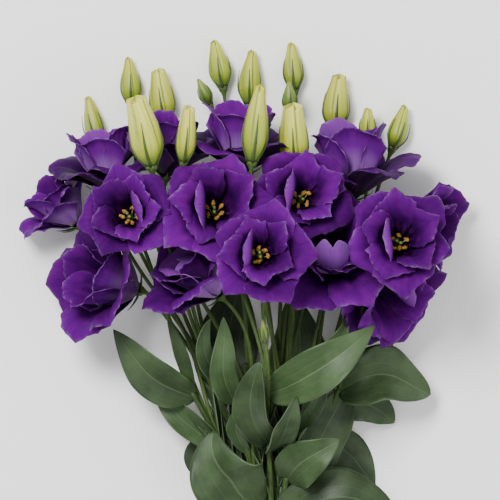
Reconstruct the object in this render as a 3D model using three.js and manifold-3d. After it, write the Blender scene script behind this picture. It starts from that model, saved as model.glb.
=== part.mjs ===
// A tied bunch of cut double lisianthus (Eustoma) lying on a table, in millimetres.
// The stems run along +Y from their cut ends to the blooms, +Z is up, and the table is the lowest plane.
// Everything is laid out from the middle of the tie, and the finished bunch is centred over the origin.
// A bloom is one mesh, its petals grown out of a small cup, and so is the stalk with its calyx and sepals.
import * as THREE from "three";
import { mergeVertices } from "three/addons/utils/BufferGeometryUtils.js";
import Module from "manifold-3d";

const wasm = await Module();
wasm.setup();

// Driving dimensions
const TABLE = -14; // height of the table below the middle of the tie
const CLEARANCE = 0.3; // air kept between the pieces of two nodes
const SEAT_GAP = 0.35; // between a bloom or bud and the calyx that carries it
const STEM_RADIUS = 2.1;
const PEDICEL_RADIUS = 1.3;
const SEPAL_TURN = Math.PI / 10; // keeps the sepals of a lying bud off the table
const CUT_END = -150; // how far the cut ends lie behind the tie
const CUT_SPREAD = [2.9, 2.02]; // how much wider and higher the stems lie at their cut ends than in the tie
const CUT_DROP = 4; // and how much lower all of them
const PETAL_THICKNESS = 0.9;
const LEAF_THICKNESS = 1.0;
const LEAF_FOLD = 0.22; // how far a leaf's edges rise above its rib, as a share of its half width
const LEAF_WAVE = 0.1;
const NARROW_LEAF = 30; // a leaf up to this width is made of fewer faces
const CUP_FOOT = 3.4; // radius of a bloom's solid bottom, where it sits in its calyx
const CUP_HEIGHT = 5.5;
const CALYX_HEIGHT = 8;
const CALYX_MOUTH = 4.2; // radius of an open bloom's calyx where the bloom sits in it

const COLOURS = {
  stem: { color: 0x6f8a5c, roughness: 0.6 },
  petal: { color: 0x5a1c96, roughness: 0.55 },
  heart: { color: 0xb99a2e, roughness: 0.7 },
  bud: { color: 0xc3c47a, roughness: 0.55 },
  tie: { color: 0xc9a878, roughness: 0.8 },
};

// Where each stem passes the tie, in a close round packing, and where it forks
const STEMS = [
  { slot: [-4.5, 3.9], fork: [-33, 128, 48] },
  { slot: [0, 3.9], fork: [-4, 128, 55] },
  { slot: [4.5, 3.9], fork: [26, 128, 48] },
  { slot: [-6.75, 0], fork: [-62, 120, 20] },
  { slot: [-2.25, 0], fork: [-20, 138, 26] },
  { slot: [2.25, 0], fork: [12, 138, 28] },
  { slot: [6.75, 0], fork: [51, 120, 20] },
  { slot: [-4.5, -3.9], fork: [-50, 138, -5] },
  { slot: [0, -3.9], fork: [5, 150, 0] },
  { slot: [4.5, -3.9], fork: [47, 140, -5] },
];

// The open blooms: the foot of the petals, the way the bloom faces, its petal length, how far it is open,
// and where its stalk branches from the stem (0 at the tie, 1 at the fork)
const BLOOMS = [
  { stem: 1, base: [-9, 217, 105], face: [0, 0.17, 0.98], size: 43, open: 1, spin: 0.2, branch: 1 },
  { stem: 2, base: [93, 226, 88], face: [0.08, 0.2, 0.97], size: 48, open: 1, spin: 1.1, branch: 0.45 },
  { stem: 3, base: [-105, 246, 82], face: [-0.12, 0.2, 0.96], size: 41, open: 1, spin: 0.6, branch: 0.45 },
  { stem: 1, base: [-43, 249, 73], face: [0, 0.25, 0.97], size: 52, open: 1, spin: 0, branch: 0.95 },
  { stem: 5, base: [21, 258, 63], face: [0.05, 0.25, 0.96], size: 45, open: 1, spin: 0.9, branch: 0.3 },
  { stem: 2, base: [43, 211, 52], face: [0.06, 0.36, 0.93], size: 56, open: 1, spin: 0.31, branch: 0.6 },
  { stem: 0, base: [-40, 190, 64], face: [-0.66, 0.6, 0.45], size: 58, open: 0.9, spin: 0.2, branch: 0.3 },
  { stem: 3, base: [-101, 193, 33], face: [-0.8, 0.22, 0.54], size: 64, open: 0.75, spin: 0.5, branch: 0.6 },
  { stem: 6, base: [69, 203, 22], face: [0.55, -0.4, 0.7], size: 56, open: 0.95, spin: 0.4, branch: 1 },
  { stem: 4, base: [-80, 279, 38], face: [0.1, 0.95, 0.2], size: 45, open: 0.7, spin: 0.1, branch: 0.75 },
  { stem: 9, base: [60, 262, 36], face: [0, 0.98, 0.16], size: 60, open: 1.05, spin: 0.35, branch: 0.3 },
  { stem: 4, base: [-23, 281, 42], face: [0, 0.98, 0.16], size: 56, open: 1, spin: 0.2, branch: 0.3 },
  { stem: 7, base: [-122, 268, 38], face: [-0.15, 0.95, 0.16], size: 48, open: 1, spin: 0.3, branch: 0.9 },
  { stem: 7, base: [-146, 243, 14], face: [-0.7, 0.65, 0.2], size: 42, open: 0.9, spin: 0.2, branch: 0.6 },
  { stem: 9, base: [97, 249, 22], face: [0.86, -0.25, 0.38], size: 47, open: 0.75, spin: 0.6, branch: 0.45 },
];

// The closed buds: foot, tip, greatest radius, how ripe each is (0 small and green, 1 about to open), and
// where its stalk branches from the stem
const BUDS = [
  { stem: 7, base: [-106, 334, -6.2], tip: [-107, 368, -6.4], radius: 7.5, ripe: 0.3, branch: 0.75 },
  { stem: 7, base: [-131, 304, -4.9], tip: [-140, 338, -5.1], radius: 7.5, ripe: 0.3, branch: 0.6 },
  { stem: 7, base: [-80, 321, -3.6], tip: [-86, 359, -3.8], radius: 9.5, ripe: 0.8, branch: 0.45 },
  { stem: 7, base: [-90, 287, 96], tip: [-99, 337, 104], radius: 14, ripe: 1, branch: 0.6 },
  { stem: 4, base: [-37, 347, -5.2], tip: [-42, 381, -5.4], radius: 8, ripe: 0.3, branch: 0.45 },
  { stem: 4, base: [-47, 334, 12], tip: [-55, 352, 16], radius: 5, ripe: 0, branch: 0.75 },
  { stem: 5, base: [-17, 334, -5.5], tip: [-17, 373, -5.7], radius: 8.5, ripe: 0.4, branch: 0.3 },
  { stem: 8, base: [17, 345, -6.1], tip: [15, 379, -6.3], radius: 7.5, ripe: 0.3, branch: 0.45 },
  { stem: 8, base: [13, 328, 12], tip: [14, 350, 16], radius: 5.5, ripe: 0, branch: 0.75 },
  { stem: 5, base: [-15, 290, 92], tip: [-9, 345, 100], radius: 9.5, ripe: 0.4, branch: 0.6 },
  { stem: 5, base: [17, 287, 62], tip: [15, 332, 70], radius: 11, ripe: 1, branch: 0.45 },
  { stem: 8, base: [47, 315, -3.7], tip: [50, 355, -3.9], radius: 10, ripe: 0.7, branch: 0.3 },
  { stem: 9, base: [72, 308, 4], tip: [72, 330, 6], radius: 6, ripe: 0.6, branch: 0.75 },
  { stem: 9, base: [91, 301, -4.9], tip: [102, 331, -5.1], radius: 7.5, ripe: 0.3, branch: 0.3 },
  { stem: 7, base: [-66, 290, 88], tip: [-62, 330, 96], radius: 8, ripe: 1, branch: 0.5 },
  { stem: 1, base: [-5, 155, 84], tip: [-7, 171, 88], radius: 3.2, ripe: 0, branch: 0.75 },
];

// The leaves: where each leaves its stem (0 at the tie, 1 at the fork), a point its rib bends towards,
// its tip, its full width, and the way its upper face looks. The last four lie on the table.
const LEAVES = [
  { stem: 1, at: 0.9, via: [35, 128, 92], tip: [76, 166, 80], width: 34, face: [-0.1, -0.1, 1] },
  { stem: 1, at: 0.6, via: [-22, 100, 78], tip: [-10, 140, 84], width: 27, face: [-0.3, -0.2, 1] },
  { stem: 1, at: 0.56, via: [12, 84, 70], tip: [16, 114, 74], width: 20, face: [0.5, -0.2, 1] },
  { stem: 0, at: 0.18, via: [-50, 36, 46], tip: [-50, 88, 42], width: 54, face: [-0.3, 0, 1] },
  { stem: 2, at: 0.1, via: [50, 48, 50], tip: [98, 20, 8], width: 44, face: [0.2, 0.3, 1] },
  { stem: 2, at: 0.38, via: [20, 62, 48], tip: [50, 80, 52], width: 32, face: [-0.1, -0.2, 1] },
  { stem: 6, at: 0.45, via: [42, 84, 16], tip: [60, 124, 20], width: 38, face: [0.3, -0.3, 1] },
  { stem: 6, at: 0.98, via: [88, 134, 36], tip: [118, 110, 10], width: 42, face: [0.3, 0.3, 1] },
  { stem: 6, at: 0.9, via: [76, 112, 6], tip: [92, 92, -8], width: 26, face: [0.3, -0.3, 1] },
  { stem: 3, at: 0.94, via: [-92, 124, 36], tip: [-116, 164, 40], width: 30, face: [0.1, -0.3, 1] },
  { stem: 3, at: 0.6, via: [-72, 98, 20], tip: [-92, 128, 14], width: 18, face: [-0.3, 0.2, 1] },
  { stem: 0, at: 0.97, via: [-62, 138, 66], tip: [-48, 172, 84], width: 14, face: [0.3, -0.3, 1] },
  { stem: 0, at: 0.85, via: [-38, 128, 60], tip: [-32, 172, 84], width: 20, face: [0.1, -0.3, 1] },
  { stem: 0, at: 0.56, via: [-34, 90, 40], tip: [-24, 104, 50], width: 13, face: [-0.3, -0.3, 1] },
  { stem: 2, at: 0.98, via: [46, 142, 66], tip: [60, 172, 62], width: 17, face: [0.2, -0.3, 1] },
  { stem: 2, at: 0.7, via: [34, 104, 56], tip: [40, 128, 60], width: 13, face: [0.3, -0.3, 1] },
  { stem: 3, at: 0.98, via: [-66, 148, 40], tip: [-78, 170, 42], width: 10, face: [0, -0.3, 1] },
  { stem: 7, at: 0.5, via: [-56, 84, -14], tip: [-66, 58, -18], width: 28, face: [0, 0, 1] },
  { stem: 9, at: 0.62, via: [60, 70, -16], tip: [76, 44, -18], width: 30, face: [0, 0, 1] },
  { stem: 8, at: 0.6, via: [14, 130, -14], tip: [26, 190, -18], width: 48, face: [0, 0, 1] },
  { stem: 7, at: 0.85, via: [-34, 150, -16], tip: [-26, 200, -18], width: 46, face: [0, 0, 1] },
];

// The layers of petals in a bloom. The angles are those of the petal's middle line to the bloom's axis,
// in degrees, at its foot, half way and at its lip, when the bloom is fully open.
// foot, half and lip are half the angle that a petal spans round the bloom, and radius and height place
// its foot.
const WHORLS = [
  {
    length: 0.97, angles: [52, 38, 118], foot: 26, half: 35, lip: 34.5, roll: 0.1,
    radius: 5.6, height: 3.2, start: 0, across: 2, along: 3,
  },
  {
    length: 0.95, angles: [52, 18, 98], foot: 26, half: 35, lip: 34, roll: 0.08,
    radius: 3.7, height: 5.3, start: 0.5, across: 2, along: 2,
  },
];
const PETALS = 5; // in each whorl
const PETAL_SKEW = 1.6; // how far one edge of a petal lies outside its middle, and the other inside
const CORNER = 0.14; // how much shorter a petal is at its corners
const RUFFLE = 2.0; // height of the waves along a petal's lip

const radians = THREE.MathUtils.degToRad;
const vector = (point) => new THREE.Vector3(...point);

// A fixed number between -1 and 1 for a pair of numbers, so that every build draws the same bunch
function wobble(a, b) {
  const n = Math.sin(a * 12.9898 + b * 78.233) * 43758.5453;
  return 2 * (n - Math.floor(n)) - 1;
}

// A manifold-3d solid from a list of Vector3 and a list of triangles
function solidFrom(points, triangles) {
  const vertProperties = new Float32Array(points.flatMap((p) => [p.x, p.y, p.z]));
  return new wasm.Manifold(
    new wasm.Mesh({ numProp: 3, vertProperties, triVerts: new Uint32Array(triangles.flat()) }),
  );
}

// A manifold-3d solid from a closed three.js geometry
function solidFromGeometry(geometry) {
  geometry.deleteAttribute("normal");
  geometry.deleteAttribute("uv");
  const merged = mergeVertices(geometry, 1e-4);
  return new wasm.Manifold(
    new wasm.Mesh({
      numProp: 3,
      vertProperties: merged.attributes.position.array,
      triVerts: new Uint32Array(merged.index.array),
    }),
  );
}

// The points and triangles of one closed surface
const newMesh = () => ({ points: [], triangles: [] });

// Adds a thin blade: surface(u, v) is its middle face, u from -1 to 1 across and v from 0 to 1 along.
// What would sink into the table lies flat on it, and grow widens the blade all round.
// Its foot is left open, and the two rows of points there are returned.
function addBlade(mesh, surface, across, along, thickness, grow = 0) {
  const step = 0.02;
  const first = mesh.points.length;
  for (let j = 0; j <= along; j++) {
    for (let i = 0; i <= across; i++) {
      const u = (2 * i) / across - 1;
      const v = j / along;
      const middle = surface(u, v);
      const alongU = surface(u + step, v).sub(surface(u - step, v)).normalize();
      const alongV = surface(u, v + step).sub(surface(u, v - step)).normalize();
      const normal = alongU.clone().cross(alongV).normalize();
      const lowest = TABLE + thickness / 2;
      if (middle.z < lowest) {
        middle.z = lowest;
        normal.set(0, 0, Math.sign(normal.z) || 1);
      }
      if (i === 0) middle.addScaledVector(alongU, -grow);
      if (i === across) middle.addScaledVector(alongU, grow);
      if (j === 0) middle.addScaledVector(alongV, -grow);
      if (j === along) middle.addScaledVector(alongV, grow);
      for (const side of [1, -1]) {
        const point = middle.clone().addScaledVector(normal, side * (thickness / 2 + grow));
        point.z = Math.max(point.z, TABLE - grow);
        mesh.points.push(point);
      }
    }
  }
  const top = (i, j) => first + 2 * (j * (across + 1) + i);
  const bottom = (i, j) => top(i, j) + 1;
  for (let j = 0; j < along; j++) {
    for (let i = 0; i < across; i++) {
      mesh.triangles.push(
        [top(i, j), top(i + 1, j), top(i + 1, j + 1)],
        [top(i, j), top(i + 1, j + 1), top(i, j + 1)],
        [bottom(i, j), bottom(i + 1, j + 1), bottom(i + 1, j)],
        [bottom(i, j), bottom(i, j + 1), bottom(i + 1, j + 1)],
      );
    }
  }
  const rim = [];
  for (let j = 0; j <= along; j++) rim.push([across, j]);
  for (let i = across - 1; i > 0; i--) rim.push([i, along]);
  for (let j = along; j >= 0; j--) rim.push([0, j]);
  for (let k = 0; k + 1 < rim.length; k++) {
    const here = rim[k];
    const next = rim[k + 1];
    mesh.triangles.push(
      [top(...next), top(...here), bottom(...here)],
      [top(...next), bottom(...here), bottom(...next)],
    );
  }
  const row = Array.from({ length: across + 1 }, (_, i) => i);
  return { outer: row.map((i) => top(i, 0)), inner: row.map((i) => bottom(i, 0)) };
}

// A blade with a closed foot, as a solid of its own
function bladeSolid(surface, across, along, thickness, grow = 0) {
  const mesh = newMesh();
  const { outer, inner } = addBlade(mesh, surface, across, along, thickness, grow);
  for (let i = 0; i < across; i++) {
    mesh.triangles.push([outer[i + 1], outer[i], inner[i]], [outer[i + 1], inner[i], inner[i + 1]]);
  }
  return solidFrom(mesh.points, mesh.triangles);
}

// Joins two closed rows of points that run the same way round, from the lower to the upper one
function joinRings(mesh, lower, upper, angleOf) {
  const turn = 2 * Math.PI;
  const start = angleOf(mesh.points[lower[0]]);
  const lag = (id) => (((angleOf(mesh.points[id]) - start) % turn) + turn) % turn;
  const begin = upper.reduce((best, id, k) => (lag(id) < lag(upper[best]) ? k : best), 0);
  const high = [...upper.slice(begin), ...upper.slice(0, begin)];
  const lowAngles = [...lower.map(lag), turn];
  const highAngles = [...high.map(lag), turn + lag(high[0])];
  let i = 0;
  let j = 0;
  while (i < lower.length || j < high.length) {
    const a = lower[i % lower.length];
    const b = high[j % high.length];
    const stepLow = j >= high.length || (i < lower.length && lowAngles[i + 1] <= highAngles[j + 1]);
    if (stepLow) {
      i += 1;
      mesh.triangles.push([a, lower[i % lower.length], b]);
    } else {
      j += 1;
      mesh.triangles.push([a, high[j % high.length], b]);
    }
  }
}

// Closes a ring of points with a fan to one more point. With up, the ring runs anticlockwise seen from it.
function closeRing(mesh, ring, point, up) {
  const centre = mesh.points.push(point) - 1;
  ring.forEach((id, k) => {
    const next = ring[(k + 1) % ring.length];
    mesh.triangles.push(up ? [id, next, centre] : [next, id, centre]);
  });
}

// A tube of a few sides along a curve
function tube(curve, radius, sides, steps) {
  const section = new THREE.Shape();
  for (let i = 0; i < sides; i++) {
    const angle = (2 * Math.PI * i) / sides;
    const corner = [radius * Math.cos(angle), radius * Math.sin(angle)];
    if (i === 0) section.moveTo(...corner);
    else section.lineTo(...corner);
  }
  section.closePath();
  return solidFromGeometry(
    new THREE.ExtrudeGeometry(section, { steps, bevelEnabled: false, extrudePath: curve }),
  );
}

// The frame of a bloom or bud: its axis is local +Z
function frameAt(base, direction) {
  const turn = new THREE.Quaternion().setFromUnitVectors(
    new THREE.Vector3(0, 0, 1),
    direction.clone().normalize(),
  );
  return new THREE.Matrix4().compose(base, turn, new THREE.Vector3(1, 1, 1));
}

// A turned solid round a frame's axis, from [radius, height] pairs that start and end on the axis
function turned(profile, sides, frame) {
  const points = profile.map(([r, h]) => new THREE.Vector2(r, h));
  const lathe = new THREE.LatheGeometry(points, sides);
  lathe.rotateX(Math.PI / 2).applyMatrix4(frame);
  return solidFromGeometry(lathe);
}

// Five points round a frame's axis
const SIDES = 5;
function ringAt(frame, radius, height, turnBy = 0) {
  return Array.from({ length: SIDES }, (_, k) => {
    const angle = turnBy + (2 * Math.PI * k) / SIDES;
    return new THREE.Vector3(radius * Math.cos(angle), radius * Math.sin(angle), height).applyMatrix4(
      frame,
    );
  });
}

// A closed stalk through rings of five points. From each edge of the ring numbered "from" a spike of
// three sides grows through the sections that spikeSections(edge) gives, [left, low, right], to its tip.
function stalkSolid(rings, end, from, spikeSections) {
  const mesh = newMesh();
  const ids = rings.map((ring) => ring.map((point) => mesh.points.push(point) - 1));
  const foot = rings[0].reduce((sum, p) => sum.add(p), new THREE.Vector3()).divideScalar(SIDES);
  closeRing(mesh, ids[0], foot, false);
  for (let k = 1; k < ids.length; k++) {
    for (let i = 0; i < SIDES; i++) {
      const next = (i + 1) % SIDES;
      const [a, b, c, d] = [ids[k - 1][i], ids[k - 1][next], ids[k][next], ids[k][i]];
      if (k !== from) {
        mesh.triangles.push([a, b, c], [a, c, d]);
        continue;
      }
      const [pa, pb, pc, pd] = [a, b, c, d].map((id) => mesh.points[id]);
      const low = mesh.points.push(pa.clone().add(pb).add(pc).add(pd).divideScalar(4)) - 1;
      mesh.triangles.push([a, b, low], [b, c, low], [a, low, d]);
      let section = [d, low, c];
      const { sections, tip } = spikeSections(i);
      for (const points of sections) {
        const grown = points.map((point) => mesh.points.push(point) - 1);
        section.forEach((id, m) => {
          const n = (m + 1) % 3;
          mesh.triangles.push([id, section[n], grown[n]], [id, grown[n], grown[m]]);
        });
        section = grown;
      }
      const point = mesh.points.push(tip) - 1;
      section.forEach((id, m) => mesh.triangles.push([id, section[(m + 1) % 3], point]));
    }
  }
  closeRing(mesh, ids.at(-1), end, true);
  return solidFrom(mesh.points, mesh.triangles);
}

// One section of a spike, three-sided: at an angle, radius and height in a frame, with half its width and
// its depth. Its ridge looks outward and down. Grown, its corners move out further than its sides.
function spikeSection(frame, angle, radius, height, half, depth, grow) {
  const back = 0.7 * grow;
  const ridge = 0.7 * depth + 1.15 * grow;
  const side = half + 2.1 * grow;
  const at = (r, sideways, h) =>
    new THREE.Vector3(
      r * Math.cos(angle) - sideways * Math.sin(angle),
      r * Math.sin(angle) + sideways * Math.cos(angle),
      h,
    ).applyMatrix4(frame);
  return [
    at(radius - back, -side, height + back),
    at(radius + ridge, 0, height - ridge),
    at(radius - back, side, height + back),
  ];
}

// The smooth value at t that is a at 0, b half way and c at 1
const threePoint = ([a, b, c], t) =>
  a * (1 - t) * (1 - 2 * t) + b * 4 * t * (1 - t) + c * t * (2 * t - 1);

// The way of a petal's middle line: the reach of a petal of length 1 up to share t, and its angle there
function petalReach(angles, t) {
  const [foot, half, lip] = angles.map(radians);
  const angleAt = (s) => threePoint([foot, half, lip], s);
  const parts = 12;
  let outward = 0;
  let upward = 0;
  for (let k = 0; k < parts; k++) {
    const angle = angleAt((t * (k + 0.5)) / parts);
    outward += (Math.sin(angle) * t) / parts;
    upward += (Math.cos(angle) * t) / parts;
  }
  return { outward, upward, angle: angleAt(t) };
}

// The middle face of one petal, in its bloom's frame
function petalSurface(bloom, bloomIndex, whorl, layer, petal) {
  const key = bloomIndex * 7 + layer * 3;
  const centre =
    bloom.spin + ((petal + whorl.start) * 2 * Math.PI) / PETALS + 0.05 * wobble(key, petal);
  const length = bloom.size * whorl.length * (1 + 0.03 * wobble(key + 1, petal));
  const phase = Math.PI * wobble(key + 2, petal);
  const angles = whorl.angles.map((angle, k) => angle * (k === 0 ? 1 : bloom.open));
  return (u, v) => {
    const share = Math.max(0, v) * (1 - CORNER * Math.abs(u) ** 3);
    const { outward, upward, angle } = petalReach(angles, share);
    const half = radians(threePoint([whorl.foot, whorl.half, whorl.lip], v));
    const skew = PETAL_SKEW * u * Math.sqrt(Math.max(0, v));
    const roll = whorl.roll * length * u * u * v ** 3;
    const ruffle = RUFFLE * v * v * (1 - u * u) * Math.sin(Math.PI * u * 1.5 + phase);
    const lift = skew + roll + ruffle;
    const radius = whorl.radius + length * outward + lift * Math.cos(angle);
    const height = whorl.height + length * upward - lift * Math.sin(angle);
    const round = centre + half * u;
    return new THREE.Vector3(radius * Math.cos(round), radius * Math.sin(round), height);
  };
}

// A bloom: its whorls of petals grow out of one small cup
function bloomSolid(bloom, index) {
  const frame = frameAt(vector(bloom.base), vector(bloom.face));
  const back = frame.clone().invert();
  const angleOf = (point) => {
    const local = point.clone().applyMatrix4(back);
    return Math.atan2(local.y, local.x);
  };
  const mesh = newMesh();
  let last = ringAt(frame, CUP_FOOT, 0, bloom.spin).map((point) => mesh.points.push(point) - 1);
  closeRing(mesh, last, vector(bloom.base), false);
  WHORLS.forEach((whorl, layer) => {
    const feet = Array.from({ length: PETALS }, (_, petal) => {
      const local = petalSurface(bloom, index, whorl, layer, petal);
      const surface = (u, v) => local(u, v).applyMatrix4(frame);
      return addBlade(mesh, surface, whorl.across, whorl.along, PETAL_THICKNESS);
    });
    joinRings(mesh, last, feet.flatMap((foot) => foot.outer), angleOf);
    feet.forEach((foot, k) => {
      const next = feet[(k + 1) % feet.length];
      const [a, b, c, d] = [foot.outer.at(-1), next.outer[0], next.inner[0], foot.inner.at(-1)];
      mesh.triangles.push([a, b, c], [a, c, d]);
    });
    last = feet.flatMap((foot) => foot.inner);
  });
  closeRing(mesh, last, new THREE.Vector3(0, 0, CUP_HEIGHT).applyMatrix4(frame), true);
  return solidFrom(mesh.points, mesh.triangles);
}

// The room that a bloom takes, for the pieces that have to keep clear of it
function bloomRoom(bloom, index, grow) {
  const frame = frameAt(vector(bloom.base), vector(bloom.face));
  const cup = turned(
    [
      [0, -grow],
      [CUP_FOOT + grow, -grow],
      [WHORLS[0].radius + grow, WHORLS[0].height + grow],
      [WHORLS[1].radius + grow, CUP_HEIGHT + grow],
      [0, CUP_HEIGHT + grow],
    ],
    10,
    frame,
  );
  const petals = WHORLS.flatMap((whorl, layer) =>
    Array.from({ length: PETALS }, (_, petal) => {
      const local = petalSurface(bloom, index, whorl, layer, petal);
      const surface = (u, v) => local(u, v).applyMatrix4(frame);
      return bladeSolid(surface, whorl.across, whorl.along, PETAL_THICKNESS, grow);
    }),
  );
  return wasm.Manifold.union([cup, ...petals]);
}

// The pistil, its radius at each height over the foot, and the stamens that stand out round it
const HEART_GAP = 0.8; // between the bloom's cup and the pistil
const PISTIL = [
  [2.3, 0],
  [2.5, 3],
  [0.9, 8],
  [2.2, 11],
];
const PISTIL_HEIGHT = 13;
const STAMEN = { bend: 4.2, rise: 8, reach: 7, length: 5, half: 1.2, depth: 1.5 };
function heartSolid(bloom, index, grow = 0) {
  const frame = frameAt(vector(bloom.base), vector(bloom.face));
  const foot = CUP_HEIGHT + HEART_GAP;
  const rings = PISTIL.map(([radius, height]) =>
    ringAt(frame, radius + grow, foot + (height || -grow), bloom.spin),
  );
  const { bend, rise, reach, length, half, depth } = STAMEN;
  const stamen = (k) => {
    const angle = bloom.spin + (2 * Math.PI * (k + 0.5)) / SIDES;
    const height = foot + rise + wobble(index + 3, k);
    const tip = new THREE.Vector3(reach * Math.cos(angle), reach * Math.sin(angle), height + length);
    return {
      sections: [spikeSection(frame, angle, bend, height, half, depth, grow)],
      tip: tip.applyMatrix4(frame),
    };
  };
  const top = new THREE.Vector3(0, 0, foot + PISTIL_HEIGHT + grow).applyMatrix4(frame);
  return stalkSolid(rings, top, 1, stamen);
}

// The outline of a bud: its radius at share s of its length, from a narrow foot to the shoulder and
// then in again to a tip that is wider on a ripe bud
function budRadius(bud, s) {
  const shoulder = 0.36;
  const foot = 0.3;
  const tip = 0.08 + 0.46 * bud.ripe;
  if (s < shoulder) {
    return bud.radius * (foot + (1 - foot) * Math.sin((Math.PI / 2) * (s / shoulder)));
  }
  const fall = Math.cos((Math.PI / 2) * ((s - shoulder) / (1 - shoulder)));
  return bud.radius * (tip + (1 - tip) * fall ** 0.9);
}

// The twisted petals of a bud: five ridges that wind round it
const BUD_TWIST = 1.3;
const BUD_RIDGE = 1.05;
const BUD_FURROW = 0.93;
const SMALL_BUD = 8.6; // a bud up to this radius is made of fewer faces
function budSolid(bud, grow = 0) {
  const axis = vector(bud.tip).sub(vector(bud.base));
  const length = axis.length();
  const frame = frameAt(vector(bud.base), axis);
  const shares = bud.radius > SMALL_BUD ? [0, 0.15, 0.4, 0.7, 1] : [0, 0.35, 0.7, 1];
  const sides = 10;
  const points = [new THREE.Vector3(0, 0, -grow)];
  for (const s of shares) {
    for (let i = 0; i < sides; i++) {
      const angle = (2 * Math.PI * i) / sides + BUD_TWIST * s;
      const ridge = i % 2 ? BUD_FURROW : BUD_RIDGE;
      const radius = budRadius(bud, s) * ridge + grow;
      const height = s * length + (s === 0 ? -grow : 0) + (s === 1 ? grow : 0);
      points.push(new THREE.Vector3(radius * Math.cos(angle), radius * Math.sin(angle), height));
    }
  }
  points.push(new THREE.Vector3(0, 0, length + grow));
  const last = points.length - 1;
  const triangles = [];
  for (let i = 0; i < sides; i++) {
    const next = (i + 1) % sides;
    triangles.push([0, 1 + next, 1 + i]);
    for (let j = 0; j + 1 < shares.length; j++) {
      const a = 1 + j * sides + i;
      const b = 1 + j * sides + next;
      triangles.push([a, b, b + sides], [a, b + sides, a + sides]);
    }
    triangles.push([last, last - sides + i, last - sides + next]);
  }
  for (const point of points) {
    point.applyMatrix4(frame);
    point.z = Math.max(point.z, TABLE - grow);
  }
  return solidFrom(points, triangles);
}

// The stalk of a bloom or bud from its fork, with its calyx and the five narrow sepals
function pedicelSolid(curve, frame, mouth, sepal, grow = 0) {
  const steps = 3;
  const rings = [];
  let side = new THREE.Vector3().setFromMatrixColumn(frame, 0);
  for (let k = steps; k >= 0; k--) {
    const along = curve.getTangent(k / steps).normalize();
    side = side.addScaledVector(along, -side.dot(along)).normalize();
    const up = along.clone().cross(side);
    const centre = curve.getPoint(k / steps);
    const turn = new THREE.Matrix4().makeBasis(side.clone(), up, along).setPosition(centre);
    rings.unshift(ringAt(turn, PEDICEL_RADIUS + grow, 0, SEPAL_TURN));
  }
  rings.push(ringAt(frame, mouth * 0.8 + grow, -0.45 * CALYX_HEIGHT, SEPAL_TURN));
  rings.push(ringAt(frame, mouth + grow, -SEAT_GAP + grow, SEPAL_TURN));
  const end = new THREE.Vector3(0, 0, -SEAT_GAP + grow).applyMatrix4(frame);
  return stalkSolid(rings, end, rings.length - 1, (k) =>
    sepal(SEPAL_TURN + (2 * Math.PI * (k + 0.5)) / SIDES),
  );
}

// The sepals of an open bloom spread under its petals, from the bend up to the tip
const SEPAL_HALF = 0.8; // half a sepal's width
const SEPAL_DEPTH = 1;
const SEPAL_BEND = { radius: 10, height: -0.4 };
const SEPAL_TIP = { radius: 17, height: 4 };
function bloomSepal(frame, angle, grow) {
  const { radius, height } = SEPAL_BEND;
  const reach = SEPAL_TIP.radius + 2 * grow;
  return {
    sections: [spikeSection(frame, angle, radius, height, SEPAL_HALF, SEPAL_DEPTH, grow)],
    tip: new THREE.Vector3(
      reach * Math.cos(angle),
      reach * Math.sin(angle),
      SEPAL_TIP.height + grow,
    ).applyMatrix4(frame),
  };
}

// The sepals of a bud hug it, with two bends on a large bud and one on a small one
function budSepal(bud, frame, angle, grow) {
  const length = vector(bud.tip).distanceTo(vector(bud.base));
  const shares = bud.radius > SMALL_BUD ? [0.14, 0.36] : [0.3];
  const tip = 0.68; // of the bud's length
  const air = 0.7; // between sepal and bud
  const flare = 0.6; // how far the sepal's tip stands off more
  const clear = (share) => budRadius(bud, share) * BUD_RIDGE + air;
  const reach = clear(tip) + flare;
  return {
    sections: shares.map((s) =>
      spikeSection(frame, angle, clear(s), s * length, SEPAL_HALF, SEPAL_DEPTH, grow),
    ),
    tip: new THREE.Vector3(
      reach * Math.cos(angle),
      reach * Math.sin(angle),
      tip * length + 2 * grow,
    ).applyMatrix4(frame),
  };
}

// The way of a stem: from its cut end through the tie to its fork
function stemCurve(stem) {
  const [x, z] = stem.slot;
  const slot = new THREE.Vector3(x, 0, z);
  const fork = vector(stem.fork);
  const cut = new THREE.Vector3(
    CUT_SPREAD[0] * x,
    CUT_END + 6 * wobble(x, z),
    CUT_SPREAD[1] * z - CUT_DROP,
  );
  const early = 0.42; // the stem spreads a little late, so that it bows outward
  const shoulder = new THREE.Vector3(
    x + early * (fork.x - x),
    0.5 * fork.y,
    z + early * (fork.z - z),
  );
  return new THREE.CatmullRomCurve3([cut, slot, shoulder, fork], false, "catmullrom", 0.5);
}

// The point of a stem at a share of its way from the tie to the fork
const UPPER_SHARE = 1 / 3; // the curve's own parameter at the tie
const stemPoint = (curve, at) => curve.getPoint(UPPER_SHARE + (1 - UPPER_SHARE) * at);

// The way of a stalk: it leaves the stem along it and comes to the bloom or bud along its axis
function pedicelCurve(curve, branch, foot, axis) {
  const root = stemPoint(curve, branch);
  const along = curve.getTangent(UPPER_SHARE + (1 - UPPER_SHARE) * branch).normalize();
  const reach = 0.35 * foot.distanceTo(root);
  const sunk = 2; // of its root in the stem
  return new THREE.CubicBezierCurve3(
    root.clone().addScaledVector(along, -sunk),
    root.clone().addScaledVector(along, reach),
    foot.clone().addScaledVector(axis, -reach),
    foot,
  );
}

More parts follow.
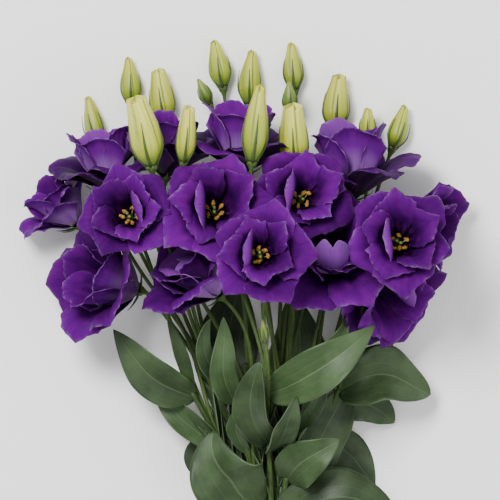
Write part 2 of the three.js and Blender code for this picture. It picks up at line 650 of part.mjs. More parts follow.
// A leaf, from a stem to its tip along a bent rib, folded a little along the rib
function leafSurface(leaf, index) {
  const curve = stemCurve(STEMS[leaf.stem]);
  const rib = new THREE.QuadraticBezierCurve3(
    stemPoint(curve, leaf.at),
    vector(leaf.via),
    vector(leaf.tip),
  );
  const face = vector(leaf.face).normalize();
  return (u, v) => {
    const t = THREE.MathUtils.clamp(v, 0, 1);
    const along = rib.getTangent(t);
    const side = along.clone().cross(face).normalize();
    const up = side.clone().cross(along);
    const half = (leaf.width / 2) * leafOutline(t);
    const fold = LEAF_FOLD * Math.abs(u) * half;
    const wave = LEAF_WAVE * half * Math.sin(7 * t + 3 * wobble(index, 5)) * u;
    return rib
      .getPoint(t)
      .addScaledVector(along, (v - t) * 40)
      .addScaledVector(side, u * half)
      .addScaledVector(up, fold + wave);
  };
}

// Half width of a leaf, as a share of the greatest
function leafOutline(t) {
  const clasp = 0.26 * (1 - t) ** 3;
  return Math.max(0.03, clasp + Math.sin(Math.PI * t ** 0.85) ** 0.85);
}

// Every piece is an element: a solid, the same solid grown by the clearance, and the node it belongs to.
// Those of a lower rank keep their shape, and the later ones make room for them.
const STALK_RANK = 0;
const HEAD_RANK = 1;
const PETAL_RANK = 2;
const LEAF_RANK = 3;
const elements = [];
function addElement(node, slot, rank, build) {
  elements.push({ node, slot, rank, solid: build(0), room: build(CLEARANCE) });
}

STEMS.forEach((stem, s) => {
  const curve = stemCurve(stem);
  const node = `stem_${s + 1}`;
  addElement(node, "stem", STALK_RANK, (grow) => tube(curve, STEM_RADIUS + grow, SIDES, 8));
  const heads = [
    ...BLOOMS.filter((bloom) => bloom.stem === s).map((bloom) => ({
      foot: vector(bloom.base),
      axis: vector(bloom.face).normalize(),
      mouth: CALYX_MOUTH,
      branch: bloom.branch,
      sepal: bloomSepal,
    })),
    ...BUDS.filter((bud) => bud.stem === s).map((bud) => ({
      foot: vector(bud.base),
      axis: vector(bud.tip).sub(vector(bud.base)).normalize(),
      mouth: 0.34 * bud.radius + 1,
      branch: bud.branch,
      sepal: (frame, angle, grow) => budSepal(bud, frame, angle, grow),
    })),
  ];
  for (const { foot, axis, mouth, branch, sepal } of heads) {
    const frame = frameAt(foot, axis);
    const neck = foot.clone().addScaledVector(axis, -CALYX_HEIGHT);
    const pedicel = pedicelCurve(curve, branch, neck, axis);
    addElement(node, "stem", STALK_RANK, (grow) =>
      pedicelSolid(pedicel, frame, mouth, (angle) => sepal(frame, angle, grow), grow),
    );
  }
});
BUDS.forEach((bud, k) => {
  addElement(`bud_${k + 1}`, "bud", HEAD_RANK, (grow) => budSolid(bud, grow));
});
BLOOMS.forEach((bloom, k) => {
  addElement(`heart_${k + 1}`, "heart", HEAD_RANK, (grow) => heartSolid(bloom, k, grow));
  addElement(`bloom_${k + 1}`, "petal", PETAL_RANK, (grow) =>
    grow ? bloomRoom(bloom, k, grow) : bloomSolid(bloom, k),
  );
});
LEAVES.forEach((leaf, k) => {
  const surface = leafSurface(leaf, k);
  const along = leaf.width > NARROW_LEAF ? 4 : 3;
  addElement(`stem_${leaf.stem + 1}`, "stem", LEAF_RANK, (grow) =>
    bladeSolid(surface, 2, along, LEAF_THICKNESS, grow),
  );
});
elements.sort((a, b) => a.rank - b.rank);

// Makes room in each element for the earlier ones of other nodes
const boxesMeet = (a, b) =>
  [0, 1, 2].every((k) => a.min[k] <= b.max[k] && b.min[k] <= a.max[k]);
elements.forEach((element, k) => {
  for (const earlier of elements.slice(0, k)) {
    if (earlier.node === element.node) continue;
    if (!boxesMeet(element.solid.boundingBox(), earlier.room.boundingBox())) continue;
    if (element.solid.intersect(earlier.room).volume() < 1e-6) continue;
    element.solid = element.solid.subtract(earlier.room);
  }
});

// One mesh a node: its elements joined, with any loose scrap dropped
const bunch = new THREE.Group();
const MERGE_TOLERANCE = 0.05;
function addMesh(name, slot, solid) {
  const bodies = solid.simplify(MERGE_TOLERANCE).decompose();
  const body = bodies.reduce((best, next) => (next.volume() > best.volume() ? next : best));
  const mesh = body.getMesh();
  const geometry = new THREE.BufferGeometry();
  geometry.setAttribute("position", new THREE.BufferAttribute(mesh.vertProperties, 3));
  geometry.setIndex(new THREE.BufferAttribute(mesh.triVerts, 1));
  geometry.computeVertexNormals();
  const part = new THREE.Mesh(geometry, new THREE.MeshStandardMaterial(COLOURS[slot]));
  part.name = name;
  bunch.add(part);
}
for (const name of new Set(elements.map((element) => element.node))) {
  const own = elements.filter((element) => element.node === name);
  addMesh(name, own[0].slot, wasm.Manifold.union(own.map((element) => element.solid)));
}

// The tie: three turns of twine round the stems
const TIE_RADIUS = 10.3;
const TWINE = 1.1; // half its thickness
const TWINE_RISE = 1.6; // how far a turn bulges, in half thicknesses
const TWINE_FURROW = 0.3; // how far the twine stands out even between its turns
const TURNS = 3;
function tieSolid() {
  const outline = [new THREE.Vector2(TIE_RADIUS, -TURNS * TWINE)];
  for (let turn = 0; turn < TURNS; turn++) {
    for (let k = 1; k <= 3; k++) {
      const angle = (Math.PI * k) / 3;
      const across = (2 * turn + 1 - TURNS) * TWINE;
      outline.push(
        new THREE.Vector2(
          TIE_RADIUS + TWINE * TWINE_RISE * Math.sin(angle) + TWINE_FURROW,
          across - TWINE * Math.cos(angle),
        ),
      );
    }
  }
  outline.push(new THREE.Vector2(TIE_RADIUS, TURNS * TWINE), outline[0].clone());
  return solidFromGeometry(new THREE.LatheGeometry(outline, 12));
}
addMesh("tie", "tie", tieSolid());

// The bunch is centred over the origin, on the table
const box = new THREE.Box3().setFromObject(bunch);
bunch.position.set(-(box.min.x + box.max.x) / 2, -(box.min.y + box.max.y) / 2, -box.min.z);

export default bunch;
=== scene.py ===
import math
from collections import namedtuple

import bpy
import numpy as np
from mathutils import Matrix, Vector


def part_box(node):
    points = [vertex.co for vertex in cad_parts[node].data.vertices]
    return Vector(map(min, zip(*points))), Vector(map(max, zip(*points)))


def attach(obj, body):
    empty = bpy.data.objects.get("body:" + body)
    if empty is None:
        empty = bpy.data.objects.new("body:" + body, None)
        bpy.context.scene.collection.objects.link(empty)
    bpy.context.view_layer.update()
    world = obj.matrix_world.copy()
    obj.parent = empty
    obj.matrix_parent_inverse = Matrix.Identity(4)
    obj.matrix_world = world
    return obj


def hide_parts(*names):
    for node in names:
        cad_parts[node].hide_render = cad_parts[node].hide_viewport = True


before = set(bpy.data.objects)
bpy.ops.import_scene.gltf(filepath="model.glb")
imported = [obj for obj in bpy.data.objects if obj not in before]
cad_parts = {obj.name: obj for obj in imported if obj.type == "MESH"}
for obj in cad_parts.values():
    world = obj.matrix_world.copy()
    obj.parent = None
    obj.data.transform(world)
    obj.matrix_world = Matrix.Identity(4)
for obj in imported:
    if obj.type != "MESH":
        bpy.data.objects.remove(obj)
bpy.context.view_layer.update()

# The design is laid out in millimetres from the middle of the tie, as in the CAD
MM = 0.001
tie_low, tie_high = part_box("tie")
ORIGIN = np.array((tie_low + tie_high) / 2)
TABLE = -14.0
RIGHT = np.array([1.0, 0, 0])
AHEAD = np.array([0, 1.0, 0])
UP = np.array([0, 0, 1.0])
FULL_TURN = 2 * math.pi
# Keeps a normal from being nothing where two rows of points meet
TINY = 1e-12

# The script counts stems, blooms, buds and leaves from 0, and the pieces' names count them from 1
# Place of each stem in the tie (x, z), and its fork
STEMS = [
    ((-4.5, 3.9), (-33, 128, 48)),
    ((0, 3.9), (-4, 128, 55)),
    ((4.5, 3.9), (26, 128, 48)),
    ((-6.75, 0), (-62, 120, 20)),
    ((-2.25, 0), (-20, 138, 26)),
    ((2.25, 0), (12, 138, 28)),
    ((6.75, 0), (51, 120, 20)),
    ((-4.5, -3.9), (-50, 138, -5)),
    ((0, -3.9), (5, 150, 0)),
    ((4.5, -3.9), (47, 140, -5)),
]

# Stem, foot of the petals, way the bloom faces, petal length, how far it is open, spin, branching place
Bloom = namedtuple("Bloom", "stem foot face size opened spin branch")
BLOOMS = [Bloom(*row) for row in (
    (1, (-9, 217, 105), (0, 0.17, 0.98), 43, 1, 0.2, 1),
    (2, (93, 226, 88), (0.08, 0.2, 0.97), 48, 1, 1.1, 0.45),
    (3, (-105, 246, 82), (-0.12, 0.2, 0.96), 41, 1, 0.6, 0.45),
    (1, (-43, 249, 73), (0, 0.25, 0.97), 52, 1, 0, 0.95),
    (5, (21, 258, 63), (0.05, 0.25, 0.96), 45, 1, 0.9, 0.3),
    (2, (43, 211, 52), (0.06, 0.36, 0.93), 56, 1, 0.31, 0.6),
    (0, (-40, 190, 64), (-0.66, 0.6, 0.45), 58, 0.9, 0.2, 0.3),
    (3, (-101, 193, 33), (-0.8, 0.22, 0.54), 64, 0.75, 0.5, 0.6),
    (6, (69, 203, 22), (0.55, -0.4, 0.7), 56, 0.95, 0.4, 1),
    (4, (-80, 279, 38), (0.1, 0.95, 0.2), 45, 0.7, 0.1, 0.75),
    (9, (60, 262, 36), (0, 0.98, 0.16), 60, 1.05, 0.35, 0.3),
    (4, (-23, 281, 42), (0, 0.98, 0.16), 56, 1, 0.2, 0.3),
    (7, (-122, 268, 38), (-0.15, 0.95, 0.16), 48, 1, 0.3, 0.9),
    (7, (-146, 243, 14), (-0.7, 0.65, 0.2), 42, 0.9, 0.2, 0.6),
    (9, (97, 249, 22), (0.86, -0.25, 0.38), 47, 0.75, 0.6, 0.45),
)]

# Stem, foot, tip, greatest radius, how ripe, branching place; bud_4 and bud_15 are slimmer than in the CAD
Bud = namedtuple("Bud", "stem foot tip radius ripe branch")
BUDS = [Bud(*row) for row in (
    (7, (-106, 334, -6.2), (-107, 368, -6.4), 7.5, 0.3, 0.75),
    (7, (-131, 304, -4.9), (-140, 338, -5.1), 7.5, 0.3, 0.6),
    (7, (-80, 321, -3.6), (-86, 359, -3.8), 9.5, 0.8, 0.45),
    (7, (-90, 287, 96), (-99, 337, 104), 12.2, 1, 0.6),
    (4, (-37, 347, -5.2), (-42, 381, -5.4), 8, 0.3, 0.45),
    (4, (-47, 334, 12), (-55, 352, 16), 5, 0, 0.75),
    (5, (-17, 334, -5.5), (-17, 373, -5.7), 8.5, 0.4, 0.3),
    (8, (17, 345, -6.1), (15, 379, -6.3), 7.5, 0.3, 0.45),
    (8, (13, 328, 12), (14, 350, 16), 5.5, 0, 0.75),
    (5, (-15, 290, 92), (-9, 345, 100), 9.5, 0.4, 0.6),
    (5, (17, 287, 62), (15, 332, 70), 11, 1, 0.45),
    (8, (47, 315, -3.7), (50, 355, -3.9), 10, 0.7, 0.3),
    (9, (72, 308, 4), (72, 330, 6), 6, 0.6, 0.75),
    (9, (91, 301, -4.9), (102, 331, -5.1), 7.5, 0.3, 0.3),
    (7, (-66, 290, 88), (-62, 330, 96), 7.2, 1, 0.5),
    (1, (-5, 155, 84), (-7, 171, 88), 3.2, 0, 0.75),
)]

# Stem, place on it, point the rib bends towards, tip, full width, way the upper face looks
Leaf = namedtuple("Leaf", "stem place via tip width face")
LEAVES = [Leaf(*row) for row in (
    (1, 0.9, (35, 128, 92), (76, 166, 80), 34, (-0.1, -0.1, 1)),
    (1, 0.6, (-22, 100, 78), (-10, 140, 84), 27, (-0.3, -0.2, 1)),
    (1, 0.56, (12, 84, 70), (16, 114, 74), 20, (0.5, -0.2, 1)),
    (0, 0.18, (-50, 36, 46), (-50, 88, 42), 54, (-0.3, 0, 1)),
    (2, 0.1, (50, 48, 50), (98, 20, 8), 44, (0.2, 0.3, 1)),
    (2, 0.38, (20, 62, 48), (50, 80, 52), 32, (-0.1, -0.2, 1)),
    (6, 0.45, (42, 84, 16), (60, 124, 20), 38, (0.3, -0.3, 1)),
    (6, 0.98, (88, 134, 36), (118, 110, 10), 42, (0.3, 0.3, 1)),
    (6, 0.9, (76, 112, 6), (92, 92, -8), 26, (0.3, -0.3, 1)),
    (3, 0.94, (-92, 124, 36), (-116, 164, 40), 30, (0.1, -0.3, 1)),
    (3, 0.6, (-72, 98, 20), (-92, 128, 14), 18, (-0.3, 0.2, 1)),
    (0, 0.97, (-62, 138, 66), (-48, 172, 84), 14, (0.3, -0.3, 1)),
    (0, 0.85, (-38, 128, 60), (-32, 172, 84), 20, (0.1, -0.3, 1)),
    (0, 0.56, (-34, 90, 40), (-24, 104, 50), 13, (-0.3, -0.3, 1)),
    (2, 0.98, (46, 142, 66), (60, 172, 62), 17, (0.2, -0.3, 1)),
    (2, 0.7, (34, 104, 56), (40, 128, 60), 13, (0.3, -0.3, 1)),
    (3, 0.98, (-66, 148, 40), (-78, 170, 42), 10, (0, -0.3, 1)),
    (7, 0.5, (-56, 84, -14), (-66, 58, -18), 28, (0, 0, 1)),
    (9, 0.62, (60, 70, -16), (76, 44, -18), 30, (0, 0, 1)),
    (8, 0.6, (14, 130, -14), (26, 190, -18), 48, (0, 0, 1)),
    (7, 0.85, (-34, 150, -16), (-26, 200, -18), 46, (0, 0, 1)),
)]

# Columns and rows of points in each kind of blade
PETAL_GRID = (25, 31)
SEPAL_GRID = (5, 14)
BRACT_GRID = (7, 16)
LEAF_GRID = (17, 34)

# Thickness of each kind of blade at its foot and tip
PETAL_THICKNESS = (0.9, 0.35)
SEPAL_THICKNESS = (0.8, 0.4)
LEAF_THICKNESS = (1.1, 0.7)


def wobble(a, b):
    """A fixed number between -1 and 1 for a pair of numbers, the same as in the CAD."""
    n = math.sin(a * 12.9898 + b * 78.233) * 43758.5453
    return 2 * (n - math.floor(n)) - 1


def unit(v):
    v = np.asarray(v, float)
    return v / np.linalg.norm(v, axis=-1, keepdims=True)


def around(angle):
    """The level direction at an angle from +X."""
    return np.array([math.cos(angle), math.sin(angle), 0.0])


def axes_at(direction):
    """The turn that takes +Z to direction by the shortest way."""
    turn = Vector((0, 0, 1)).rotation_difference(Vector(direction).normalized())
    return np.array(turn.to_matrix())


def placed(points, base, turn):
    return points @ turn.T + np.asarray(base, float)


def grid(columns, rows):
    """Shares of a blade's points: across it from -1 to 1, and along it from 0 to 1."""
    return np.meshgrid(np.linspace(-1, 1, columns), np.linspace(0, 1, rows))


def lay_of(across, along, chance):
    """The attribute that the materials read: shares across and along, and one share of chance."""
    return np.stack([across, along, np.full_like(across, chance)], -1)


def fan(first, second, hub):
    """Triangles from a ring's edges to one point, as squares that name that point twice."""
    hubs = np.full(len(first), hub)
    return np.stack([first, second, hubs, hubs], 1)


class Piece:
    """Collects the points and faces of one object, in design millimetres, with two attributes:
    lay (across, along, chance) and side (0 front, 1 back; on a bud, the share of painted shade, 1 in the
    depth of a groove)."""

    def __init__(self):
        self.points, self.lay, self.side, self.faces, self.slots = [], [], [], [], []
        self.count = 0

    def add(self, points, lay, side, faces, slot):
        points = points.reshape(-1, 3)
        self.points.append(points)
        self.lay.append(lay.reshape(-1, 3))
        self.side.append(np.broadcast_to(side, points.shape[:1]).astype(float))
        self.faces.append(faces + self.count)
        self.slots.append(np.full(len(faces), slot))
        self.count += len(points)

    def sheet(self, points, lay, thickness, slot=0, up_side=0.0):
        """A thin blade round a grid of points, rows along and columns across.
        thickness is given at its foot and tip. up_side is the side of the face from which across
        turns anticlockwise into along."""
        rows, cols = points.shape[:2]
        across = np.gradient(points, axis=1)
        along = np.gradient(points, axis=0)
        normal = unit(np.cross(across, along) + TINY)
        half = np.linspace(*thickness, rows).reshape(-1, 1, 1) / 2
        ids = np.arange(rows * cols).reshape(rows, cols)
        both = np.concatenate([points + normal * half, points - normal * half])
        a, b = ids[:-1, :-1].ravel(), ids[:-1, 1:].ravel()
        c, d = ids[1:, 1:].ravel(), ids[1:, :-1].ravel()
        front = np.stack([a, b, c, d], 1)
        back = np.stack([a, d, c, b], 1) + rows * cols
        rim = np.concatenate([ids[0], ids[1:, -1], ids[-1, -2::-1], ids[-2:0:-1, 0]])
        step = np.roll(rim, -1)
        edge = np.stack([step, rim, rim + rows * cols, step + rows * cols], 1)
        self.add(
            both,
            np.concatenate([lay, lay]),
            np.repeat([up_side, 1.0 - up_side], rows * cols),
            np.concatenate([front, back, edge]),
            slot,
        )

    def tube(self, rings, lay, slot=0, side=0.0, close=True):
        """A tube through rings of points, which run anticlockwise seen from its end.
        side is one value, or one for each point and then for the middles of its two ends."""
        rows, cols = rings.shape[:2]
        ids = np.arange(rows * cols).reshape(rows, cols)
        nxt = np.roll(ids, -1, axis=1)
        faces = [np.stack([ids[:-1].ravel(), nxt[:-1].ravel(), nxt[1:].ravel(), ids[1:].ravel()], 1)]
        points, lays = rings.reshape(-1, 3), lay.reshape(-1, 3)
        if close:
            points = np.concatenate([points, rings[:1].mean(1), rings[-1:].mean(1)])
            lays = np.concatenate([lays, lay[:1].mean(1), lay[-1:].mean(1)])
            faces.append(fan(nxt[0], ids[0], rows * cols))
            faces.append(fan(ids[-1], nxt[-1], rows * cols + 1))
        self.add(points, lays, side, np.concatenate(faces), slot)

    def finish(self, name, materials, slot, *nodes):
        """Makes the object, with nothing of it below the table."""
        points = np.concatenate(self.points)
        points[:, 2] = np.maximum(points[:, 2], TABLE)
        loops = [f[:3] if f[2] == f[3] else f for f in np.concatenate(self.faces).tolist()]
        mesh = bpy.data.meshes.new(name)
        mesh.from_pydata((points * MM + ORIGIN).tolist(), [], loops)
        mesh.attributes.new("lay", "FLOAT_VECTOR", "POINT")
        mesh.attributes["lay"].data.foreach_set("vector", np.concatenate(self.lay).ravel())
        mesh.attributes.new("side", "FLOAT", "POINT")
        mesh.attributes["side"].data.foreach_set("value", np.concatenate(self.side))
        for material in materials:
            mesh.materials.append(material)
        mesh.polygons.foreach_set("material_index", np.concatenate(self.slots).astype(np.int32))
        mesh.polygons.foreach_set("use_smooth", np.ones(len(loops), bool))
        mesh.update()
        piece = bpy.data.objects.new(name, mesh)
        bpy.context.collection.objects.link(piece)
        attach(piece, "root")
        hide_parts(*nodes)


# Materials: the share of each colour's light that is kept, and two depths of bump in metres
STUDIO_SHADE = 0.72
SHALLOW = 0.0004
DEEP = 0.0005


def srgb(r, g, b):
    """A linear colour from one that is given as on a screen, 0 to 255, shaded for the bright studio."""
    c = np.array([r, g, b]) / 255
    linear = np.where(c <= 0.04045, c / 12.92, ((c + 0.055) / 1.055) ** 2.4)
    return (*(STUDIO_SHADE * linear).tolist(), 1.0)


class Shader:
    """A small helper to wire a principled material."""

    def __init__(self, name, roughness, **sockets):
        self.material = bpy.data.materials.new(name)
        self.material.use_nodes = True
        self.tree = self.material.node_tree
        self.bsdf = self.tree.nodes["Principled BSDF"]
        self.bsdf.inputs["Roughness"].default_value = roughness
        for key, value in sockets.items():
            self.bsdf.inputs[key.replace("_", " ")].default_value = value
        self.lay = self.attribute("lay").outputs["Vector"]
        split = self.node("ShaderNodeSeparateXYZ")
        self.link(self.lay, split.inputs[0])
        self.u, self.v, self.chance = split.outputs
        self.side = self.attribute("side").outputs["Fac"]
        self.place = self.node("ShaderNodeTexCoord").outputs["Object"]

    def node(self, kind):
        return self.tree.nodes.new(kind)

    def attribute(self, name):
        n = self.node("ShaderNodeAttribute")
        n.attribute_name = name
        return n

    def link(self, a, b):
        self.tree.links.new(a, b)

    def feed(self, value, socket):
        """Sets a socket to a number or a colour, or links another node's output to it."""
        if isinstance(value, (int, float, tuple)):
            socket.default_value = value
        else:
            self.link(value, socket)

    def math(self, operation, a, b=0.0, c=0.0):
        n = self.node("ShaderNodeMath")
        n.operation = operation
        for value, socket in zip((a, b, c), n.inputs):
            self.feed(value, socket)
        return n.outputs[0]

    def ramp(self, value, stops):
        n = self.node("ShaderNodeValToRGB")
        self.feed(value, n.inputs[0])
        elements = n.color_ramp.elements
        while len(elements) < len(stops):
            elements.new(0.5)
        for element, (at, colour) in zip(elements, stops):
            element.position = at
            element.color = colour if isinstance(colour, tuple) else (colour,) * 3 + (1.0,)
        return n.outputs[0]

    def mix(self, share, a, b):
        n = self.node("ShaderNodeMix")
        n.data_type = "RGBA"
        self.feed(share, n.inputs[0])
        self.feed(a, n.inputs[6])
        self.feed(b, n.inputs[7])
        return n.outputs[2]

    def cover(self, colour, value, stops, other):
        """One colour with another laid over it, as strongly as a ramp of value says."""
        return self.mix(self.ramp(value, stops), colour, other)

    def noise(self, vector, scale=1.0, stretch=(1, 1, 1), detail=3.0, rough=0.5):
        grow = self.node("ShaderNodeVectorMath")
        grow.operation = "MULTIPLY"
        self.link(vector, grow.inputs[0])
        grow.inputs[1].default_value = stretch
        n = self.node("ShaderNodeTexNoise")
        self.link(grow.outputs[0], n.inputs["Vector"])
        n.inputs["Scale"].default_value = scale
        n.inputs["Detail"].default_value = detail
        n.inputs["Roughness"].default_value = rough
        return n.outputs[0]

    def varied(self, colour):
        """The colour made lighter or darker by the blade's own chance."""
        n = self.node("ShaderNodeHueSaturation")
        self.link(colour, n.inputs["Color"])
        self.link(self.math("MULTIPLY_ADD", self.chance, 0.5, 0.75), n.inputs["Value"])
        return n.outputs[0]

    def finish(self, colour, height, strength, depth):
        """Gives the surface its colour and its bump, and returns the material."""
        self.link(colour, self.bsdf.inputs["Base Color"])
        n = self.node("ShaderNodeBump")
        n.inputs["Strength"].default_value = strength
        n.inputs["Distance"].default_value = depth
        self.link(height, n.inputs["Height"])
        self.link(n.outputs[0], self.bsdf.inputs["Normal"])
        return self.material


def petal_material():
    """Satin purple with lighter backs: the inner face near-black at the foot, from its own deeper throat
    colour and painted shade in the cup, and a painted highlight along the lip's edge.
    A chance under 0.5 darkens a petal's back, and one over 1 makes the whole petal paler."""
    s = Shader("petal", 0.5, Specular_IOR_Level=0.05, Specular_Tint=(0.7, 0.25, 1.0, 1.0))
    along = s.math("ADD", s.v, s.math("MULTIPLY_ADD", s.chance, 0.12, -0.06))
    # The inner face goes near-black towards the foot: its own deeper throat colour, and painted shade in
    # the depth of the cup
    inner = s.ramp(
        along,
        [
            (0.0, srgb(10, 0, 16)),
            (0.3, srgb(24, 0, 38)),
            (0.5, srgb(50, 0, 76)),
            (0.75, srgb(68, 0, 94)),
            (1.0, srgb(84, 0, 112)),
        ],
    )
    outer = s.ramp(
        along,
        [
            (0.0, srgb(140, 150, 100)),
            (0.16, srgb(150, 106, 172)),
            (0.5, srgb(142, 94, 170)),
            (0.76, srgb(96, 24, 130)),
            (1.0, srgb(70, 2, 100)),
        ],
    )
    outer = s.cover(outer, s.chance, [(0.25, 0.85), (0.5, 0.0)], inner)
    colour = s.mix(s.side, inner, outer)
    over_one = s.math("SUBTRACT", s.chance, 1.0)
    colour = s.cover(colour, over_one, [(0.0, 0.0), (0.5, 0.4)], srgb(138, 92, 164))
    veins = s.noise(s.lay, stretch=(30, 1.4, 9), detail=4.0, rough=0.6)
    colour = s.cover(colour, veins, [(0.45, 0.0), (0.7, 0.3)], srgb(28, 1, 48))
    cloud = s.noise(s.lay, stretch=(2.2, 4.5, 11))
    colour = s.cover(colour, cloud, [(0.45, 0.0), (0.75, 0.45)], srgb(112, 14, 130))
    # Painted highlight: a pale, broken line along the lip's edge and sides, where light catches the thin
    # rim
    edge_u = s.math("POWER", s.math("ABSOLUTE", s.u), 26.0)
    edge_v = s.math("POWER", s.math("MAXIMUM", s.v, 0.0), 60.0)
    edge = s.math("MULTIPLY", s.math("MAXIMUM", edge_u, edge_v), s.math("POWER", s.v, 2.0))
    broken_highlight = s.ramp(s.noise(s.lay, stretch=(7, 7, 23), detail=2.0), [(0.42, 0.05), (0.62, 0.5)])
    colour = s.mix(s.math("MULTIPLY", edge, broken_highlight), colour, srgb(166, 128, 186))
    return s.finish(s.varied(colour), veins, 0.2, DEEP)


# How far the two veins on each half of a leaf lie from its rib, as shares of the half width
LEAF_VEINS = (0.38, 0.7)


def leaf_material():
    """Waxy grey-green in soft blotches, with paler veins, rim and back."""
    s = Shader("leaf", 0.45, Specular_IOR_Level=0.24)
    blotch = s.noise(s.place, scale=48.0)
    base = s.cover(srgb(30, 48, 22), blotch, [(0.35, 0.0), (0.7, 1.0)], srgb(70, 92, 56))
    base = s.mix(s.math("MULTIPLY", s.chance, 0.6), base, srgb(66, 90, 52))
    colour = s.mix(s.side, base, s.mix(0.5, base, srgb(118, 136, 108)))
    u_abs = s.math("ABSOLUTE", s.u)
    rib = s.ramp(u_abs, [(0.0, 1.0), (0.02, 0.9), (0.045, 0.0)])
    rim = s.ramp(u_abs, [(0.955, 0.0), (0.985, 0.9)])
    veins = s.math("MAXIMUM", rib, rim)
    for place, strength in zip(LEAF_VEINS, (0.3, 0.2)):
        off = s.math("ABSOLUTE", s.math("SUBTRACT", u_abs, place))
        veins = s.math("MAXIMUM", veins, s.ramp(off, [(0.0, strength), (0.03, 0.0)]))
    colour = s.mix(s.math("MULTIPLY", veins, 0.22), colour, srgb(138, 158, 118))
    net = s.noise(s.lay, stretch=(30, 22, 5), detail=4.0)
    colour = s.cover(colour, net, [(0.4, 0.0), (0.7, 0.3)], srgb(34, 54, 26))
    wax = s.noise(s.place, scale=26.0, detail=2.0)
    colour = s.cover(colour, wax, [(0.5, 0.0), (0.75, 0.4)], srgb(96, 118, 84))
    return s.finish(s.varied(colour), s.math("SUBTRACT", net, veins), 0.3, DEEP)


def stalk_material():
    """Streaked green, lighter on the young stalks (chance 0) than on the stems (chance near 1)."""
    s = Shader("stalk", 0.5, Specular_IOR_Level=0.18)
    streak = s.noise(s.lay, stretch=(9, 2.5, 5), detail=4.0)
    young = s.ramp(streak, [(0.3, srgb(52, 74, 32)), (0.6, srgb(86, 108, 54)), (0.8, srgb(118, 136, 82))])
    old = s.ramp(streak, [(0.3, srgb(38, 56, 26)), (0.6, srgb(66, 88, 46)), (0.8, srgb(98, 116, 72))])
    return s.finish(s.mix(s.chance, young, old), streak, 0.3, SHALLOW)


def sepal_material():
    s = Shader("sepal", 0.55)
    streak = s.noise(s.lay, stretch=(7, 3, 5))
    colour = s.ramp(streak, [(0.3, srgb(44, 66, 24)), (0.75, srgb(84, 106, 46))])
    return s.finish(colour, streak, 0.25, SHALLOW)


def bud_material():
    """Green to cream by how ripe the bud is (chance), with painted shade in its grooves and at its twisted
    tip (side), and darker green at its foot.
    """
    s = Shader("bud", 0.45)
    young = s.ramp(s.v, [(0.0, srgb(92, 122, 24)), (0.4, srgb(144, 166, 22)), (1.0, srgb(204, 204, 40))])
    ripe = s.ramp(s.v, [(0.0, srgb(132, 152, 36)), (0.35, srgb(196, 202, 56)), (1.0, srgb(242, 238, 102))])
    green = s.ramp(s.v, [(0.0, srgb(62, 88, 26)), (0.5, srgb(96, 122, 34)), (1.0, srgb(150, 162, 58))])
    colour = s.cover(s.mix(s.chance, young, ripe), s.chance, [(0.0, 1.0), (0.25, 0.0)], green)
    streak = s.noise(s.lay, stretch=(22, 2, 7), detail=4.0)
    colour = s.cover(colour, streak, [(0.4, 0.0), (0.72, 0.6)], srgb(132, 152, 44))
    # Painted shade in the grooves between the wound petals and at the tip, as much as side says
    colour = s.cover(colour, s.side, [(0.0, 0.0), (1.0, 0.55)], srgb(86, 102, 30))
    colour = s.cover(colour, s.v, [(0.0, 0.85), (0.2, 0.0)], srgb(80, 108, 44))
    return s.finish(colour, streak, 0.25, DEEP)


def grainy_material(name, low, high, roughness, strength=0.3):
    s = Shader(name, roughness)
    grain = s.noise(s.place, scale=500.0, detail=4.0)
    return s.finish(s.ramp(grain, [(0.3, low), (0.7, high)]), grain, strength, SHALLOW)


def twine_material():
    s = Shader("twine", 0.85)
    ply = s.noise(s.lay, stretch=(6, 40, 3), detail=4.0)
    colour = s.ramp(ply, [(0.3, srgb(150, 118, 78)), (0.7, srgb(206, 176, 130))])
    return s.finish(colour, ply, 0.6, DEEP)


PETAL = petal_material()
LEAF = leaf_material()
STALK = stalk_material()
SEPAL = sepal_material()
BUD = bud_material()
ANTHER = grainy_material("anther", srgb(96, 60, 8), srgb(206, 156, 48), 0.8, 0.8)
FILAMENT = grainy_material("filament", srgb(150, 150, 90), srgb(190, 190, 130), 0.5)
PISTIL = grainy_material("pistil", srgb(70, 96, 34), srgb(120, 138, 60), 0.45)

# Petals, in whorls of five
# angles: degrees that the middle line leans out at foot, middle and lip; curl: degrees more at the lip
# foot, half, lip: half of the petal's width at foot, middle and lip, in degrees round the bloom
# skew: rise of one side over the next petal; roll: rise of both sides; ruffle: height of the waves
# cusp, corner: how far the middle and the corners of the lip stand out, as shares of the length
# start: turn of the whorl, in petals; radius, height: place of the foot; tint: the middle of its chance
PETALS = 5
OUTER = dict(radius=5.6, height=3.2, start=0.0, foot=30, roll=0.05, corner=0.08, tint=0.5)
INNER = dict(radius=3.7, height=5.3, start=0.5, foot=30, roll=0.03, corner=0.08, tint=0.5)
OPEN_WHORLS = [
    dict(OUTER, length=1.0, angles=(54, 40, 108), curl=84, half=50, lip=54, skew=3.8, ruffle=1.6,
         cusp=0.2),
    dict(INNER, length=1.0, angles=(54, 18, 82), curl=90, half=50, lip=52, skew=3.4, ruffle=1.0,
         cusp=0.16, roll=0.04),
]
# Blooms seen from the side: outer petals hang back, inner ones stand up
SIDE_BLOOMS = (5, 6, 7, 13, 14)
SIDE_WHORLS = [
    dict(OUTER, length=1.02, angles=(50, 46, 124), curl=60, half=42, lip=44, skew=3.6, ruffle=2.4,
         cusp=0.1, corner=0.1),
    dict(INNER, length=0.95, angles=(56, 14, 56), curl=60, half=52, lip=56, skew=2.6, ruffle=1.2,
         cusp=0.04, corner=0.02),
]
# Blooms that face away from the camera: the outer petals roll down round the pale backs of the inner ones
REAR_BLOOMS = (9, 10, 11, 12)
REAR_WHORLS = [
    dict(OUTER, length=0.98, angles=(54, 56, 110), curl=90, half=44, lip=46, skew=3.8, ruffle=3.0,
         cusp=0.06, corner=0.03, tint=0.0),
    dict(INNER, length=1.0, angles=(56, 14, 44), curl=60, half=54, lip=56, skew=2.0, ruffle=1.2,
         cusp=0.02, corner=0.01, tint=0.9, foot=32),
]
